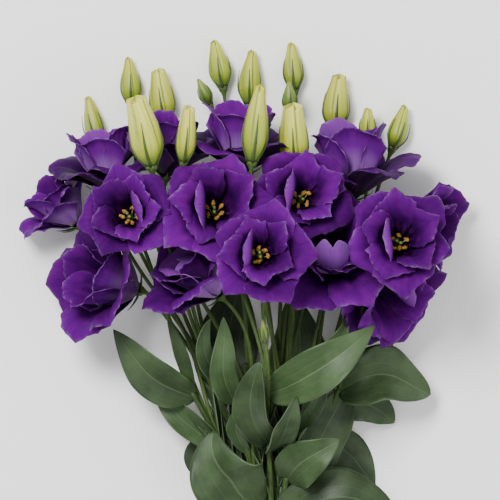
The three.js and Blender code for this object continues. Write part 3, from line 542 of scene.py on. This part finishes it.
# Folded inner petals that stand beside the stamens, or close over them
# wide: half width as a share of the bloom's petal length; widths: its shares at foot, middle and lip
# cup: rise of both sides
FOLD = dict(radius=3.4, height=5.6)
PETALOID = dict(FOLD, length=0.86, angles=(42, -4, 58), curl=110, wide=0.4, widths=(0.45, 1.0, 1.0),
                cup=0.05, cusp=0.04, tint=1.2)
CLOSED = dict(FOLD, length=1.0, angles=(62, -26, -92), curl=0, wide=0.25, widths=(0.5, 0.8, 1.0),
              cup=-0.08, cusp=-0.16, tint=1.5)
# Which way the folded petals of a bloom lie, in the bloom's own turn
FOLDED = {
    0: [(PETALOID, 3.0)],
    1: [(PETALOID, 3.2)],
    2: [(PETALOID, 0.3)],
    3: [(PETALOID, 3.2)],
    4: [(PETALOID, 3.0)],
    5: [(CLOSED, -1.6)],
    6: [(CLOSED, 0.2), (PETALOID, 2.2), (PETALOID, 4.2)],
    8: [(PETALOID, 0.6)],
}
# How much the petals differ: turn, length, degrees of lean at middle and lip, degrees of curl
TURN_SPREAD = 0.12
LENGTH_SPREAD = 0.09
LEAN_SPREAD = (5, 16)
CURL_SPREAD = 15
# Heights of the fine ripples at the lip and of the pleats, and where along a petal its lip starts to curl
RIPPLE = 0.4
PLEAT = 1.6
CURL_START = 0.66
# Radius and height of the rings of the solid cup that joins the petals
CUP_HEIGHT = 5.5
CUP = ((1.0, 0.0), (3.4, 0.0), (4.6, 1.6), (5.8, 3.2), (4.0, 5.6), (0.5, CUP_HEIGHT))
CUP_SIDES = 24


def three_point(values, t):
    """The curve through three values at t = 0, a half and 1."""
    a, b, c = values
    return a * (1 - t) * (1 - 2 * t) + b * 4 * t * (1 - t) + c * t * (2 * t - 1)


def reach(angles, curl, t, parts=24):
    """How far a middle line of length 1 goes out and up to share t, and its angle there.
    Its last third curls outward by curl more degrees."""
    curl = np.broadcast_to(curl, t.shape)

    def angle_at(x, more):
        tight = np.clip((x - CURL_START) / (1 - CURL_START), 0, 1.2) ** 2
        return np.radians(three_point(angles, x) + more * tight)

    middles = (np.arange(parts) + 0.5) / parts
    angle = angle_at(t[..., None] * middles, curl[..., None])
    return np.sin(angle).mean(-1) * t, np.cos(angle).mean(-1) * t, angle_at(t, curl)


def raised(form, length, line, lift):
    """Radius and height of a petal's points, lifted square to its middle line."""
    outward, upward, angle = line
    radius = form["radius"] + length * outward + lift * np.cos(angle)
    height = form["height"] + length * upward - lift * np.sin(angle)
    return radius, height


def folded_grid(index, size, form, petal, centre):
    """A folded inner petal: straight across, its middle line bent over or out."""
    phase = math.pi * wobble(index, petal)
    length = size * form["length"]
    u, v = grid(*PETAL_GRID)
    cusp = form["cusp"] * np.exp(-np.abs(u) / 0.3)
    share = v * (0.92 - 0.2 * np.abs(u) ** 3 + (cusp + 0.012 * np.sin(9 * u + phase)) * v ** 3)
    lift = form["cup"] * length * u * u * v + 0.9 * np.sin(4.2 * u + phase) * v ** 2
    radius, height = raised(form, length, reach(form["angles"], form["curl"], share), lift)
    across = form["wide"] * size * u * three_point(form["widths"], v)
    x, y, z = around(centre)
    points = np.stack([radius * x - across * y, radius * y + across * x, height], -1)
    return points, lay_of(u, v, form["tint"] + 0.15 * wobble(index + 5, petal))


def petal_grid(bloom, index, whorl, layer, petal):
    """One petal of a whorl: a waved blade with a pointed, nicked lip that curls outward."""
    key = index * 7 + layer * 3
    centre = bloom.spin + (petal + whorl["start"]) * FULL_TURN / PETALS + TURN_SPREAD * wobble(key, petal)
    length = bloom.size * whorl["length"] * (1 + LENGTH_SPREAD * wobble(key + 1, petal))
    phase = math.pi * wobble(key + 2, petal)
    foot, middle, lip = whorl["angles"]
    middle = middle * bloom.opened + LEAN_SPREAD[0] * wobble(key + 6, petal)
    lip = lip * bloom.opened + LEAN_SPREAD[1] * wobble(key + 4, petal)
    u, v = grid(*PETAL_GRID)
    v = v ** 0.9
    tip = u - 0.2 * wobble(key, petal + 7)
    cusp = whorl["cusp"] * np.exp(-np.abs(tip) / 0.15)
    corner = whorl["corner"] * np.exp(-np.abs(np.abs(u) - 0.74) / 0.08)
    nick = 0.012 * np.sin(11 * u + 2 * phase) + 0.008 * np.sin(27 * u + phase)
    share = v * (0.92 - 0.26 * np.abs(u) ** 2.6 + (cusp + corner + nick) * v ** 4)
    curl = whorl["curl"] * (0.8 + 0.45 * np.sin(2.2 * u + phase)) * (1 - 0.7 * np.exp(-(tip / 0.22) ** 2))
    curl += CURL_SPREAD * wobble(key + 8, petal)
    lift = whorl["skew"] * u * np.sqrt(v) + whorl["roll"] * length * u * u * v ** 3
    wave = np.sin(1.3 * math.pi * u + phase) + 0.35 * np.sin(3.1 * math.pi * u + 2.3 * phase)
    lift += whorl["ruffle"] * v ** 3 * (1 - 0.4 * u * u) * wave
    lift += RIPPLE * np.sin(7 * math.pi * u + phase) * v ** 4
    lift += PLEAT * v * (1.05 - v) * np.cos(2.5 * math.pi * u + 0.5 * phase)
    lift += 0.07 * length * np.clip((np.abs(u) - 0.6) / 0.4, 0, 1) ** 2 * v ** 2
    radius, height = raised(whorl, length, reach((foot, middle, lip), curl, share), lift)
    half = np.radians(three_point((whorl["foot"], whorl["half"], whorl["lip"]), v))
    turn = centre + half * u
    points = np.stack([radius * np.cos(turn), radius * np.sin(turn), height], -1)
    return points, lay_of(u, v, whorl["tint"] + 0.5 * wobble(key + 5, petal))


def circle(centre, radius, side, up, count):
    a = np.arange(count) * FULL_TURN / count
    return centre + radius * (np.cos(a)[:, None] * side + np.sin(a)[:, None] * up)


def make_bloom(index, bloom):
    turn = axes_at(bloom.face)
    whorls = OPEN_WHORLS
    if index in SIDE_BLOOMS:
        whorls = SIDE_WHORLS
    if index in REAR_BLOOMS:
        whorls = REAR_WHORLS
    grids = []
    for layer, whorl in enumerate(whorls):
        grids += [petal_grid(bloom, index, whorl, layer, petal) for petal in range(PETALS)]
    for petal, (form, centre) in enumerate(FOLDED.get(index, [])):
        grids.append(folded_grid(index, bloom.size, form, petal, centre))
    piece = Piece()
    for points, lay in grids:
        piece.sheet(placed(points, bloom.foot, turn), lay, PETAL_THICKNESS, up_side=1.0)
    # The solid cup takes the inner face's colour near the foot: near-black, with the same painted shade of
    # the cup's depth
    rings = np.array([circle(UP * height, radius, RIGHT, AHEAD, CUP_SIDES) for radius, height in CUP])
    piece.tube(placed(rings, bloom.foot, turn), np.full(rings.shape, 0.1))
    piece.finish(f"petals_{index + 1}", [PETAL], "petal", f"bloom_{index + 1}")


def swept(path, radii, count, side=RIGHT):
    """Rings of a round tube along a path."""
    path = np.asarray(path, float)
    along = unit(np.gradient(path, axis=0))
    rings = []
    for k, point in enumerate(path):
        side = side - along[k] * (side @ along[k])
        if np.linalg.norm(side) < 1e-6:
            side = np.cross(along[k], UP)
        side = side / np.linalg.norm(side)
        rings.append(circle(point, radii[k], side, np.cross(along[k], side), count))
    return np.array(rings)


def tube_lay(rings, chance=0.5, length=1.0):
    rows, cols = rings.shape[:2]
    across = np.abs(np.linspace(-1, 1, cols + 1)[:-1])
    return lay_of(*np.meshgrid(across, np.linspace(0, length, rows)), chance)


# Hearts: height above the foot and radius along the ovary and style
HEART_FOOT = CUP_HEIGHT + 0.4
OVARY = ((0, 2.2), (2, 2.8), (5, 2.2), (7.5, 1.0), (9, 0.8), (11.5, 0.9))
# Distance from the axis, height above the foot and radius along each of the two lobes of the stigma
LOBE = ((0.4, 11, 0.9), (1.4, 12, 1.3), (2.3, 12.6, 1.2), (2.9, 12.6, 0.5))
STAMENS = 6
STAMEN_HEIGHT = 8.5
STAMEN_REACH = 5.6
FILAMENT_RADII = (0.45, 0.4, 0.3)
ANTHER_HALF = 2.7
ANTHER_RADIUS = 1.5
OVARY_SIDES, LOBE_SIDES, FILAMENT_SIDES, ANTHER_SIDES = 16, 10, 8, 10
ON_ANTHER, ON_FILAMENT, ON_PISTIL = 0, 1, 2


def make_heart(index, bloom):
    """The pistil with its two lobes, and the stamens round it."""
    turn = axes_at(bloom.face)
    piece = Piece()

    def add_tube(path, radii, count, slot, side=RIGHT):
        rings = swept(path, radii, count, side)
        piece.tube(placed(rings, bloom.foot, turn), tube_lay(rings), slot)

    path = [UP * (HEART_FOOT + h) for h, r in OVARY]
    add_tube(path, [r for h, r in OVARY], OVARY_SIDES, ON_PISTIL)
    for lobe in (-1, 1):
        out = around(bloom.spin + lobe * math.pi / 2)
        path = [out * far + UP * (HEART_FOOT + h) for far, h, r in LOBE]
        add_tube(path, [r for far, h, r in LOBE], LOBE_SIDES, ON_PISTIL, UP)
    for k in range(STAMENS):
        out = around(bloom.spin + (k + 0.5) * FULL_TURN / STAMENS + 0.32 * wobble(index + 3, k))
        height = HEART_FOOT + STAMEN_HEIGHT + 1.6 * wobble(index + 3, k)
        far = STAMEN_REACH + 1.2 * wobble(index + 8, k)
        path = [out * 2.6 + UP * HEART_FOOT, out * 3.6 + UP * (HEART_FOOT + 4),
                out * (far - 0.6) + UP * height]
        add_tube(path, FILAMENT_RADII, FILAMENT_SIDES, ON_FILAMENT)
        tangent = np.cross(UP, out)
        lean = 1.3 * wobble(index, k)
        along = unit(out * (0.7 + 0.3 * wobble(index + 1, k)) + UP * 0.35 + tangent * lean)
        middle = out * far + UP * (height + 0.8)
        half = ANTHER_HALF + 0.4 * wobble(index, k + 2)
        steps = np.linspace(-1, 1, 8)
        path = [middle + along * half * s - out * 0.5 * s * s for s in steps]
        rounded = np.sqrt(np.maximum(0.06, 1 - steps ** 2))
        radii = ANTHER_RADIUS * rounded * (1 + 0.16 * np.cos(4 * steps + k))
        add_tube(path, radii, ANTHER_SIDES, ON_ANTHER, tangent)
    piece.finish(
        f"stamens_{index + 1}", [ANTHER, FILAMENT, PISTIL], "heart", f"heart_{index + 1}"
    )


# Buds: share of the radius at the foot, share of the length below the shoulder, and twist in radians
BUD_SIDES = 80
BUD_RINGS = 40
BUD_FOOT = 0.34
SHOULDER = 0.34
TWIST = 1.3


def bud_radius(bud, s):
    """Radius of a bud at share s of its length: up to the shoulder, then down to the tip."""
    tip = 0.22 + 0.42 * bud.ripe
    rise = BUD_FOOT + 0.66 * np.sin(math.pi / 2 * np.minimum(s / SHOULDER, 1)) ** 0.9
    fall = np.cos(math.pi / 2 * np.clip((s - SHOULDER) / (1 - SHOULDER), 0, 1))
    fall = np.maximum(fall, 0) ** (1.15 + 0.25 * bud.ripe)
    return bud.radius * np.where(s < SHOULDER, rise, tip + (1 - tip) * fall)


def bud_length(bud):
    return float(np.linalg.norm(np.subtract(bud.tip, bud.foot)))


def make_bud(index, bud):
    """A closed bud of five petals wound round each other, with grooves where their edges lie."""
    length = bud_length(bud)
    i, s = np.meshgrid(np.arange(BUD_SIDES) / BUD_SIDES, np.linspace(0, 1, BUD_RINGS))
    angle = FULL_TURN * i + TWIST * s
    fold = (PETALS * i + 0.5 * index + 1.1 * s) % 1
    ridge = 0.86 + 0.2 * fold ** 0.6
    # Where the petals' edges lie: the surface dips a little there, and the material paints shade there
    # through side
    groove_and_painted_shade = np.exp(-((np.minimum(fold, 1 - fold) / 0.07) ** 2)) * np.clip(3 * s - 0.5, 0, 1)
    round_tip = np.sqrt(np.clip((1 - s) / 0.02, 0.01, 1))
    r = bud_radius(bud, s) * ridge * (1 - 0.04 * groove_and_painted_shade) * round_tip
    r = r * (1 + 0.02 * np.sin(3 * angle + index) * s)
    ragged = length * s ** 10 * (0.1 * (fold - 0.5) + 0.02 * np.sin(11 * angle + index))
    bend = 0.06 * length * s ** 2 * wobble(index, 4)
    points = np.stack([r * np.cos(angle) + bend, r * np.sin(angle), s * length * 0.985 + ragged], -1)
    points = placed(points, bud.foot, axes_at(np.subtract(bud.tip, bud.foot)))
    # The middle of the tip gets part of the grooves' painted shade, the foot none
    foot_painted_shade, tip_painted_shade = 0.0, 0.6
    piece = Piece()
    piece.tube(points, lay_of(fold, s, bud.ripe), side=np.append(groove_and_painted_shade.ravel(), [foot_painted_shade, tip_painted_shade]))
    piece.finish(f"bud_petals_{index + 1}", [BUD], "bud", f"bud_{index + 1}")


# Stems and stalks, and where the stems' cuts lie: y, spread of their places in the tie, and drop
STEM_RADIUS = 2.1
STEM_RINGS = 60
STEM_SIDES = 14
STALK_RADIUS = 1.3
STALK_RINGS = 28
STALK_SIDES = 12
CUT_END = -150.0
CUT_SPREAD = (2.9, 2.02)
CUT_DROP = 4.0
# How far a stem has spread towards its fork at half the way there
STEM_BEND = 0.42
# Places on a stem's whole curve where it is swollen though it has no leaf, and the size of a swelling
BARE_NODES = [0.08, 0.22]
SWELLING = 0.45
SWELLING_LENGTH = 0.012
# The stalk ends its curve this far below the petals, and its calyx swells above that
CALYX_HEIGHT = 8.0
CALYX_FOOT = 6.5
# Distance below the foot of the petals and share of the mouth's radius along a calyx
SEAT_GAP = 0.35
CALYX = ((5, 0.55), (3.6, 0.8), (2, 0.95), (SEAT_GAP, 1))
BLOOM_MOUTH = 4.2
SEPALS = 5
SEPAL_TURN = math.pi / 10
# Distance from the axis and height along the sepals of a bloom, and their half width
BLOOM_SEPAL = ((3.6, -1.5), (9, 0.4), (14, 3.4), (17, 7))
BLOOM_SEPAL_HALF = 1.3
# Shares of a bud's length between which its sepals lie on it, and how far they stand off it
BUD_SEPAL = (0.02, 0.66)
BUD_SEPAL_POINTS = 16
BUD_SEPAL_GAP = 0.35
# Stems with bracts of their own, the places and lengths of these, and the length of those under a stalk
BRACT_STEMS = (3, 4, 5, 7, 8)
BRACT_PLACES = (0.3, 0.5, 0.68)
STEM_BRACT = 36
STALK_BRACT = 26
# A stalk that starts at the fork, above this place, has no bracts
FORK_START = 0.95
ON_STALK, ON_SEPAL, ON_BRACT = 0, 1, 2


def catmull(points, t):
    """The uniform Catmull-Rom curve through four points, t from 0 to 1, with each end point mirrored past
    its neighbour.
    """
    p = [np.asarray(q, float) for q in points]
    n = len(p) - 1
    x = t * n
    k = min(int(math.floor(x)), n - 1)
    w = x - k
    p1, p2 = p[k], p[k + 1]
    p0 = p[k - 1] if k > 0 else 2 * p[0] - p[1]
    p3 = p[k + 2] if k + 2 <= n else 2 * p[n] - p[n - 1]
    t0, t1 = 0.5 * (p2 - p0), 0.5 * (p3 - p1)
    c2 = -3 * p1 + 3 * p2 - 2 * t0 - t1
    c3 = 2 * p1 - 2 * p2 + t0 + t1
    return p1 + t0 * w + c2 * w * w + c3 * w ** 3


def stem_points(stem):
    (x, z), fork = stem
    cut = (CUT_SPREAD[0] * x, CUT_END + 6 * wobble(x, z), CUT_SPREAD[1] * z - CUT_DROP)
    shoulder = (x + STEM_BEND * (fork[0] - x), 0.5 * fork[1], z + STEM_BEND * (fork[2] - z))
    return [cut, (x, 0, z), shoulder, fork]


def share_of(place):
    """The share of a stem's whole curve for a place between the tie, 0, and the fork, 1."""
    return 1 / 3 + 2 / 3 * place


def stem_at(stem, place):
    return catmull(stem_points(stem), share_of(place))


def bezier(points, t):
    """A curve that starts at the first of three or four points and ends at the last."""
    t = np.asarray(t)[:, None]
    p = [np.asarray(q, float) for q in points]
    if len(p) == 3:
        return p[0] * (1 - t) ** 2 + p[1] * 2 * t * (1 - t) + p[2] * t * t
    return (
        p[0] * (1 - t) ** 3 + 3 * p[1] * t * (1 - t) ** 2 + 3 * p[2] * t * t * (1 - t) + p[3] * t ** 3
    )


def ribbon(path, side, half, u):
    """The points of a flat blade along a path, half wide to each side of it."""
    return path[:, None] + side[:, None] * (u * half[:, None])[..., None]


def sepal_sheet(piece, line, half, out):
    """A narrow pointed blade along a line of points, its hollow side towards the bloom or bud."""
    u, v = grid(*SEPAL_GRID)
    t = v[:, 0]
    if len(line) > 4:
        at = np.linspace(0, 1, len(line))
        path = np.stack([np.interp(t, at, line[:, k]) for k in range(3)], -1)
    else:
        path = bezier(line, t)
    along = unit(np.gradient(path, axis=0))
    side = unit(np.cross(along, out))
    width = half * np.maximum(0.06, (1 - t) ** 1.1 * (1.0 + 0.9 * t))
    hollow = 0.45 * width[:, None] * u ** 2
    points = ribbon(path, side, width, u) - np.cross(side, along)[:, None] * hollow[..., None]
    piece.sheet(points, lay_of(u, v, 0.5), SEPAL_THICKNESS, ON_SEPAL)


def bract_pair(piece, root, along, index, size):
    """Two small leaves where a stalk branches from its stem."""
    side = unit(np.cross(along, [0.3, 0.2, 1.0]))
    up = np.cross(side, along)
    u, v = grid(*BRACT_GRID)
    t = v[:, 0]
    for hand in (-1, 1):
        out = unit(hand * side + 0.7 * up + 0.3 * wobble(index, hand + 2) * side)
        length = size * (1 + 0.2 * wobble(index + 9, hand + 3))
        line = [root + out * 1.2, root + along * 0.45 * length + out * 0.16 * length,
                root + along * length + out * 0.42 * length]
        path = bezier(line, t)
        ahead = unit(np.gradient(path, axis=0))
        across = unit(np.cross(ahead, out))
        upper = np.cross(across, ahead)
        half = 0.13 * length * np.maximum(0.04, 0.45 * (1 - t) ** 2 + np.sin(math.pi * t ** 0.8))
        fold = 0.4 * np.abs(u) * half[:, None] * np.sign((upper * out).sum(-1))[:, None]
        points = ribbon(path, across, half, u) + upper[:, None] * fold[..., None]
        lay = lay_of(u, v, 0.5 + 0.5 * wobble(index, hand + 6))
        piece.sheet(points, lay, SEPAL_THICKNESS, ON_BRACT)


def sepal_line(head, mouth, out):
    """The middle line and half width of a sepal: bent out below a bloom, or close along a bud."""
    if isinstance(head, Bloom):
        return np.array([out * far + UP * height for far, height in BLOOM_SEPAL]), BLOOM_SEPAL_HALF
    length = bud_length(head)
    shares = np.linspace(*BUD_SEPAL, BUD_SEPAL_POINTS)
    clear = bud_radius(head, shares) * 1.045 + BUD_SEPAL_GAP
    line = [out * c + UP * s * length for c, s in zip(clear, shares)]
    line[0] = out * mouth * 0.92 - UP * 1.2
    return np.array(line), 0.75 + 0.02 * head.radius


def add_head(piece, index, head, axis, mouth):
    """The stalk of a bloom or bud, with its calyx, its sepals and the bracts where it branches."""
    foot = np.array(head.foot, float)
    neck = foot - axis * CALYX_HEIGHT
    root = stem_at(STEMS[index], head.branch)
    along = unit(root - stem_at(STEMS[index], head.branch - 0.01))
    span = 0.35 * np.linalg.norm(neck - root)
    line = [root - along * 2, root + along * span, neck - axis * span, neck]
    path = bezier(line, np.linspace(0, 1, STALK_RINGS))
    calyx = [foot - axis * CALYX_FOOT] + [foot - axis * below for below, share in CALYX]
    radii = [*np.linspace(STALK_RADIUS * 1.25, STALK_RADIUS, STALK_RINGS), STALK_RADIUS * 1.3]
    radii += [share * mouth for below, share in CALYX]
    rings = swept(np.concatenate([path, calyx]), radii, STALK_SIDES)
    piece.tube(rings, tube_lay(rings, chance=0.0, length=9), ON_STALK)
    if head.branch < FORK_START:
        bract_pair(piece, root, along, index * 7 + round(head.branch * 20), STALK_BRACT)
    turn = axes_at(axis)
    for k in range(SEPALS):
        out = around(SEPAL_TURN + FULL_TURN * (k + 0.5) / SEPALS)
        line, half = sepal_line(head, mouth, out)
        sepal_sheet(piece, placed(line, foot, turn), half, turn @ out)


def make_stem(index, stem):
    piece = Piece()
    t = np.linspace(0, 1, STEM_RINGS)
    path = [catmull(stem_points(stem), x) for x in t]
    radii = np.full(STEM_RINGS, STEM_RADIUS)
    for at in BARE_NODES + [share_of(leaf.place) for leaf in LEAVES if leaf.stem == index]:
        radii = radii + SWELLING * np.exp(-(((t - at) / SWELLING_LENGTH) ** 2))
    rings = swept(path, radii, STEM_SIDES)
    piece.tube(rings, tube_lay(rings, chance=0.75 + 0.25 * wobble(index, 3), length=12), ON_STALK)
    if index in BRACT_STEMS:
        for k, place in enumerate(BRACT_PLACES):
            root = stem_at(stem, place)
            along = unit(stem_at(stem, place + 0.01) - root)
            bract_pair(piece, root, along, index * 5 + k, STEM_BRACT)
    for bloom in BLOOMS:
        if bloom.stem == index:
            add_head(piece, index, bloom, unit(bloom.face), BLOOM_MOUTH)
    for bud in BUDS:
        if bud.stem == index:
            mouth = BUD_FOOT * bud.radius + 1
            add_head(piece, index, bud, unit(np.subtract(bud.tip, bud.foot)), mouth)
    piece.finish(f"stalks_{index + 1}", [STALK, SEPAL, LEAF], "stem", f"stem_{index + 1}")


# How far a leaf folds up from its rib, waves, frills at its edge and bulges, as shares of its half width
LEAF_FOLD = 0.22
LEAF_WAVE = 0.1
LEAF_FRILL = 0.12
LEAF_BULGE = 0.05
VEIN_DEPTH = 0.35
VEIN_WIDTH = 0.07
# A blade's middle lies at least this far above the table
LEAF_REST = 0.5


def make_leaf(index, leaf):
    """A broad blade on a bent rib, sunk along its veins, that sways and droops towards its tip."""
    u, v = grid(*LEAF_GRID)
    t = v[:, 0]
    line = bezier([stem_at(STEMS[leaf.stem], leaf.place), leaf.via, leaf.tip], t)
    along = unit(np.gradient(line, axis=0))
    face = unit(leaf.face)
    side = unit(np.cross(along, face))
    sway = 0.16 * leaf.width * wobble(index, 12)
    hook = 0.22 * leaf.width * wobble(index, 14)
    droop = 0.16 * leaf.width * (1 + 0.6 * wobble(index, 15))
    line = line + sway * side * np.sin(math.pi * t[:, None]) ** 2
    line = line + hook * side * np.clip(t[:, None] - 0.6, 0, 1) ** 2 / 0.16
    line = line - droop * face * np.clip(t[:, None] - 0.55, 0, 1) ** 2 / 0.2
    clasp = 0.26 * (1 - t) ** 3
    blunt = 0.72 + 0.1 * wobble(index, 16)
    half = leaf.width / 2 * np.maximum(0.02, clasp + np.sin(math.pi * t ** 0.88) ** blunt)
    lift = LEAF_FOLD * np.abs(u) ** 1.2 * half[:, None]
    lift = lift + LEAF_WAVE * half[:, None] * np.sin(7 * v + 3 * wobble(index, 5)) * u
    lift = lift + LEAF_FRILL * half[:, None] * np.abs(u) ** 3 * np.sin(13 * v + 2 * index)
    lift = lift + LEAF_BULGE * half[:, None] * np.sin(5 * v + index) * (1 - u ** 2)
    for vein in (0.0, *LEAF_VEINS):
        lift = lift - VEIN_DEPTH * np.exp(-(((np.abs(u) - vein) / VEIN_WIDTH) ** 2)) * (1 - v)
    points = ribbon(line, side, half, u) + np.cross(side, along)[:, None] * lift[..., None]
    points[..., 2] = np.maximum(points[..., 2], TABLE + LEAF_REST)
    piece = Piece()
    piece.sheet(points, lay_of(u, v, 0.5 + 0.5 * wobble(index, 9)), LEAF_THICKNESS)
    piece.finish(f"leaf_{index + 1}", [LEAF], "stem", f"stem_{leaf.stem + 1}")


# The tie: turns of twisted twine round the stems
TIE_RADIUS = 11.5
TIE_TURNS = 3
TIE_STEPS = 120
TWINE_PITCH = 2.2
TWINE_RADIUS = 1.0
TWINE_SIDES = 12
PLY_HEIGHT = 0.12
PLY_TURNS = 36


def make_tie():
    piece = Piece()
    angles = np.arange(TIE_STEPS) / TIE_STEPS * FULL_TURN
    b = np.arange(TWINE_SIDES) * FULL_TURN / TWINE_SIDES
    for turn in range(TIE_TURNS):
        rings = []
        for a in angles:
            out = np.array([math.cos(a), 0.0, math.sin(a)])
            radii = TWINE_RADIUS + PLY_HEIGHT * np.cos(2 * b + PLY_TURNS * a)
            centre = TIE_RADIUS * out + AHEAD * TWINE_PITCH * (turn - 1)
            rings.append(circle(centre, radii[:, None], out, AHEAD, TWINE_SIDES))
        rings.append(rings[0])
        rings = np.array(rings)
        piece.tube(rings, tube_lay(rings, chance=0.3 * turn, length=4), close=False)
    piece.finish("twine", [twine_material()], "tie", "tie")


for k, bloom in enumerate(BLOOMS):
    make_bloom(k, bloom)
    make_heart(k, bloom)
for k, bud in enumerate(BUDS):
    make_bud(k, bud)
for k, stem in enumerate(STEMS):
    make_stem(k, stem)
for k, leaf in enumerate(LEAVES):
    make_leaf(k, leaf)
make_tie()

# Floor, light and camera, in metres: name, place, power in watts and size of each lamp
LAMPS = (
    ("key", (-0.75, 1.0, 2.3), 94, 0.8),
    ("fill", (1.3, -0.8, 2.0), 22, 1.5),
)
LAMP_AIM = (0, 0.1, 0.05)
SKY_STRENGTH = 0.88
FLOOR_HALF = 6.0
FLOOR_GREY = 0.92


def make_stage():
    floor = bpy.data.meshes.new("floor")
    corners = [(x * FLOOR_HALF, y * FLOOR_HALF, 0) for x, y in ((-1, -1), (1, -1), (1, 1), (-1, 1))]
    floor.from_pydata(corners, [], [(0, 1, 2, 3)])
    piece = bpy.data.objects.new("floor", floor)
    material = bpy.data.materials.new("floor")
    material.use_nodes = True
    shader = material.node_tree.nodes["Principled BSDF"]
    shader.inputs["Base Color"].default_value = (FLOOR_GREY, FLOOR_GREY, FLOOR_GREY, 1)
    shader.inputs["Roughness"].default_value = 0.9
    floor.materials.append(material)
    bpy.context.collection.objects.link(piece)

    world = bpy.data.worlds.new("studio")
    world.use_nodes = True
    sky = world.node_tree.nodes["Background"]
    sky.inputs["Color"].default_value = (1, 1, 1, 1)
    sky.inputs["Strength"].default_value = SKY_STRENGTH
    bpy.context.scene.world = world

    for name, place, energy, size in LAMPS:
        data = bpy.data.lights.new(name, "AREA")
        data.energy = energy
        data.size = size
        lamp = bpy.data.objects.new(name, data)
        lamp.location = place
        aim = Vector(LAMP_AIM) - Vector(place)
        lamp.rotation_euler = aim.to_track_quat("-Z", "Y").to_euler()
        bpy.context.collection.objects.link(lamp)


def make_camera():
    """Straight above the middle of the photograph, which spans 375 mm at the height of the blooms."""
    photo_middle = np.array([-16.5, 223.5, 0])
    span, level, distance, sensor = 0.375, 0.06, 9.0, 36
    data = bpy.data.cameras.new("camera")
    data.sensor_width = sensor
    data.lens = sensor * distance / span
    data.clip_end = 50
    camera = bpy.data.objects.new("camera", data)
    middle = ORIGIN + photo_middle * MM
    camera.location = (middle[0], middle[1], level + distance)
    bpy.context.collection.objects.link(camera)
    bpy.context.scene.camera = camera


make_stage()
make_camera()
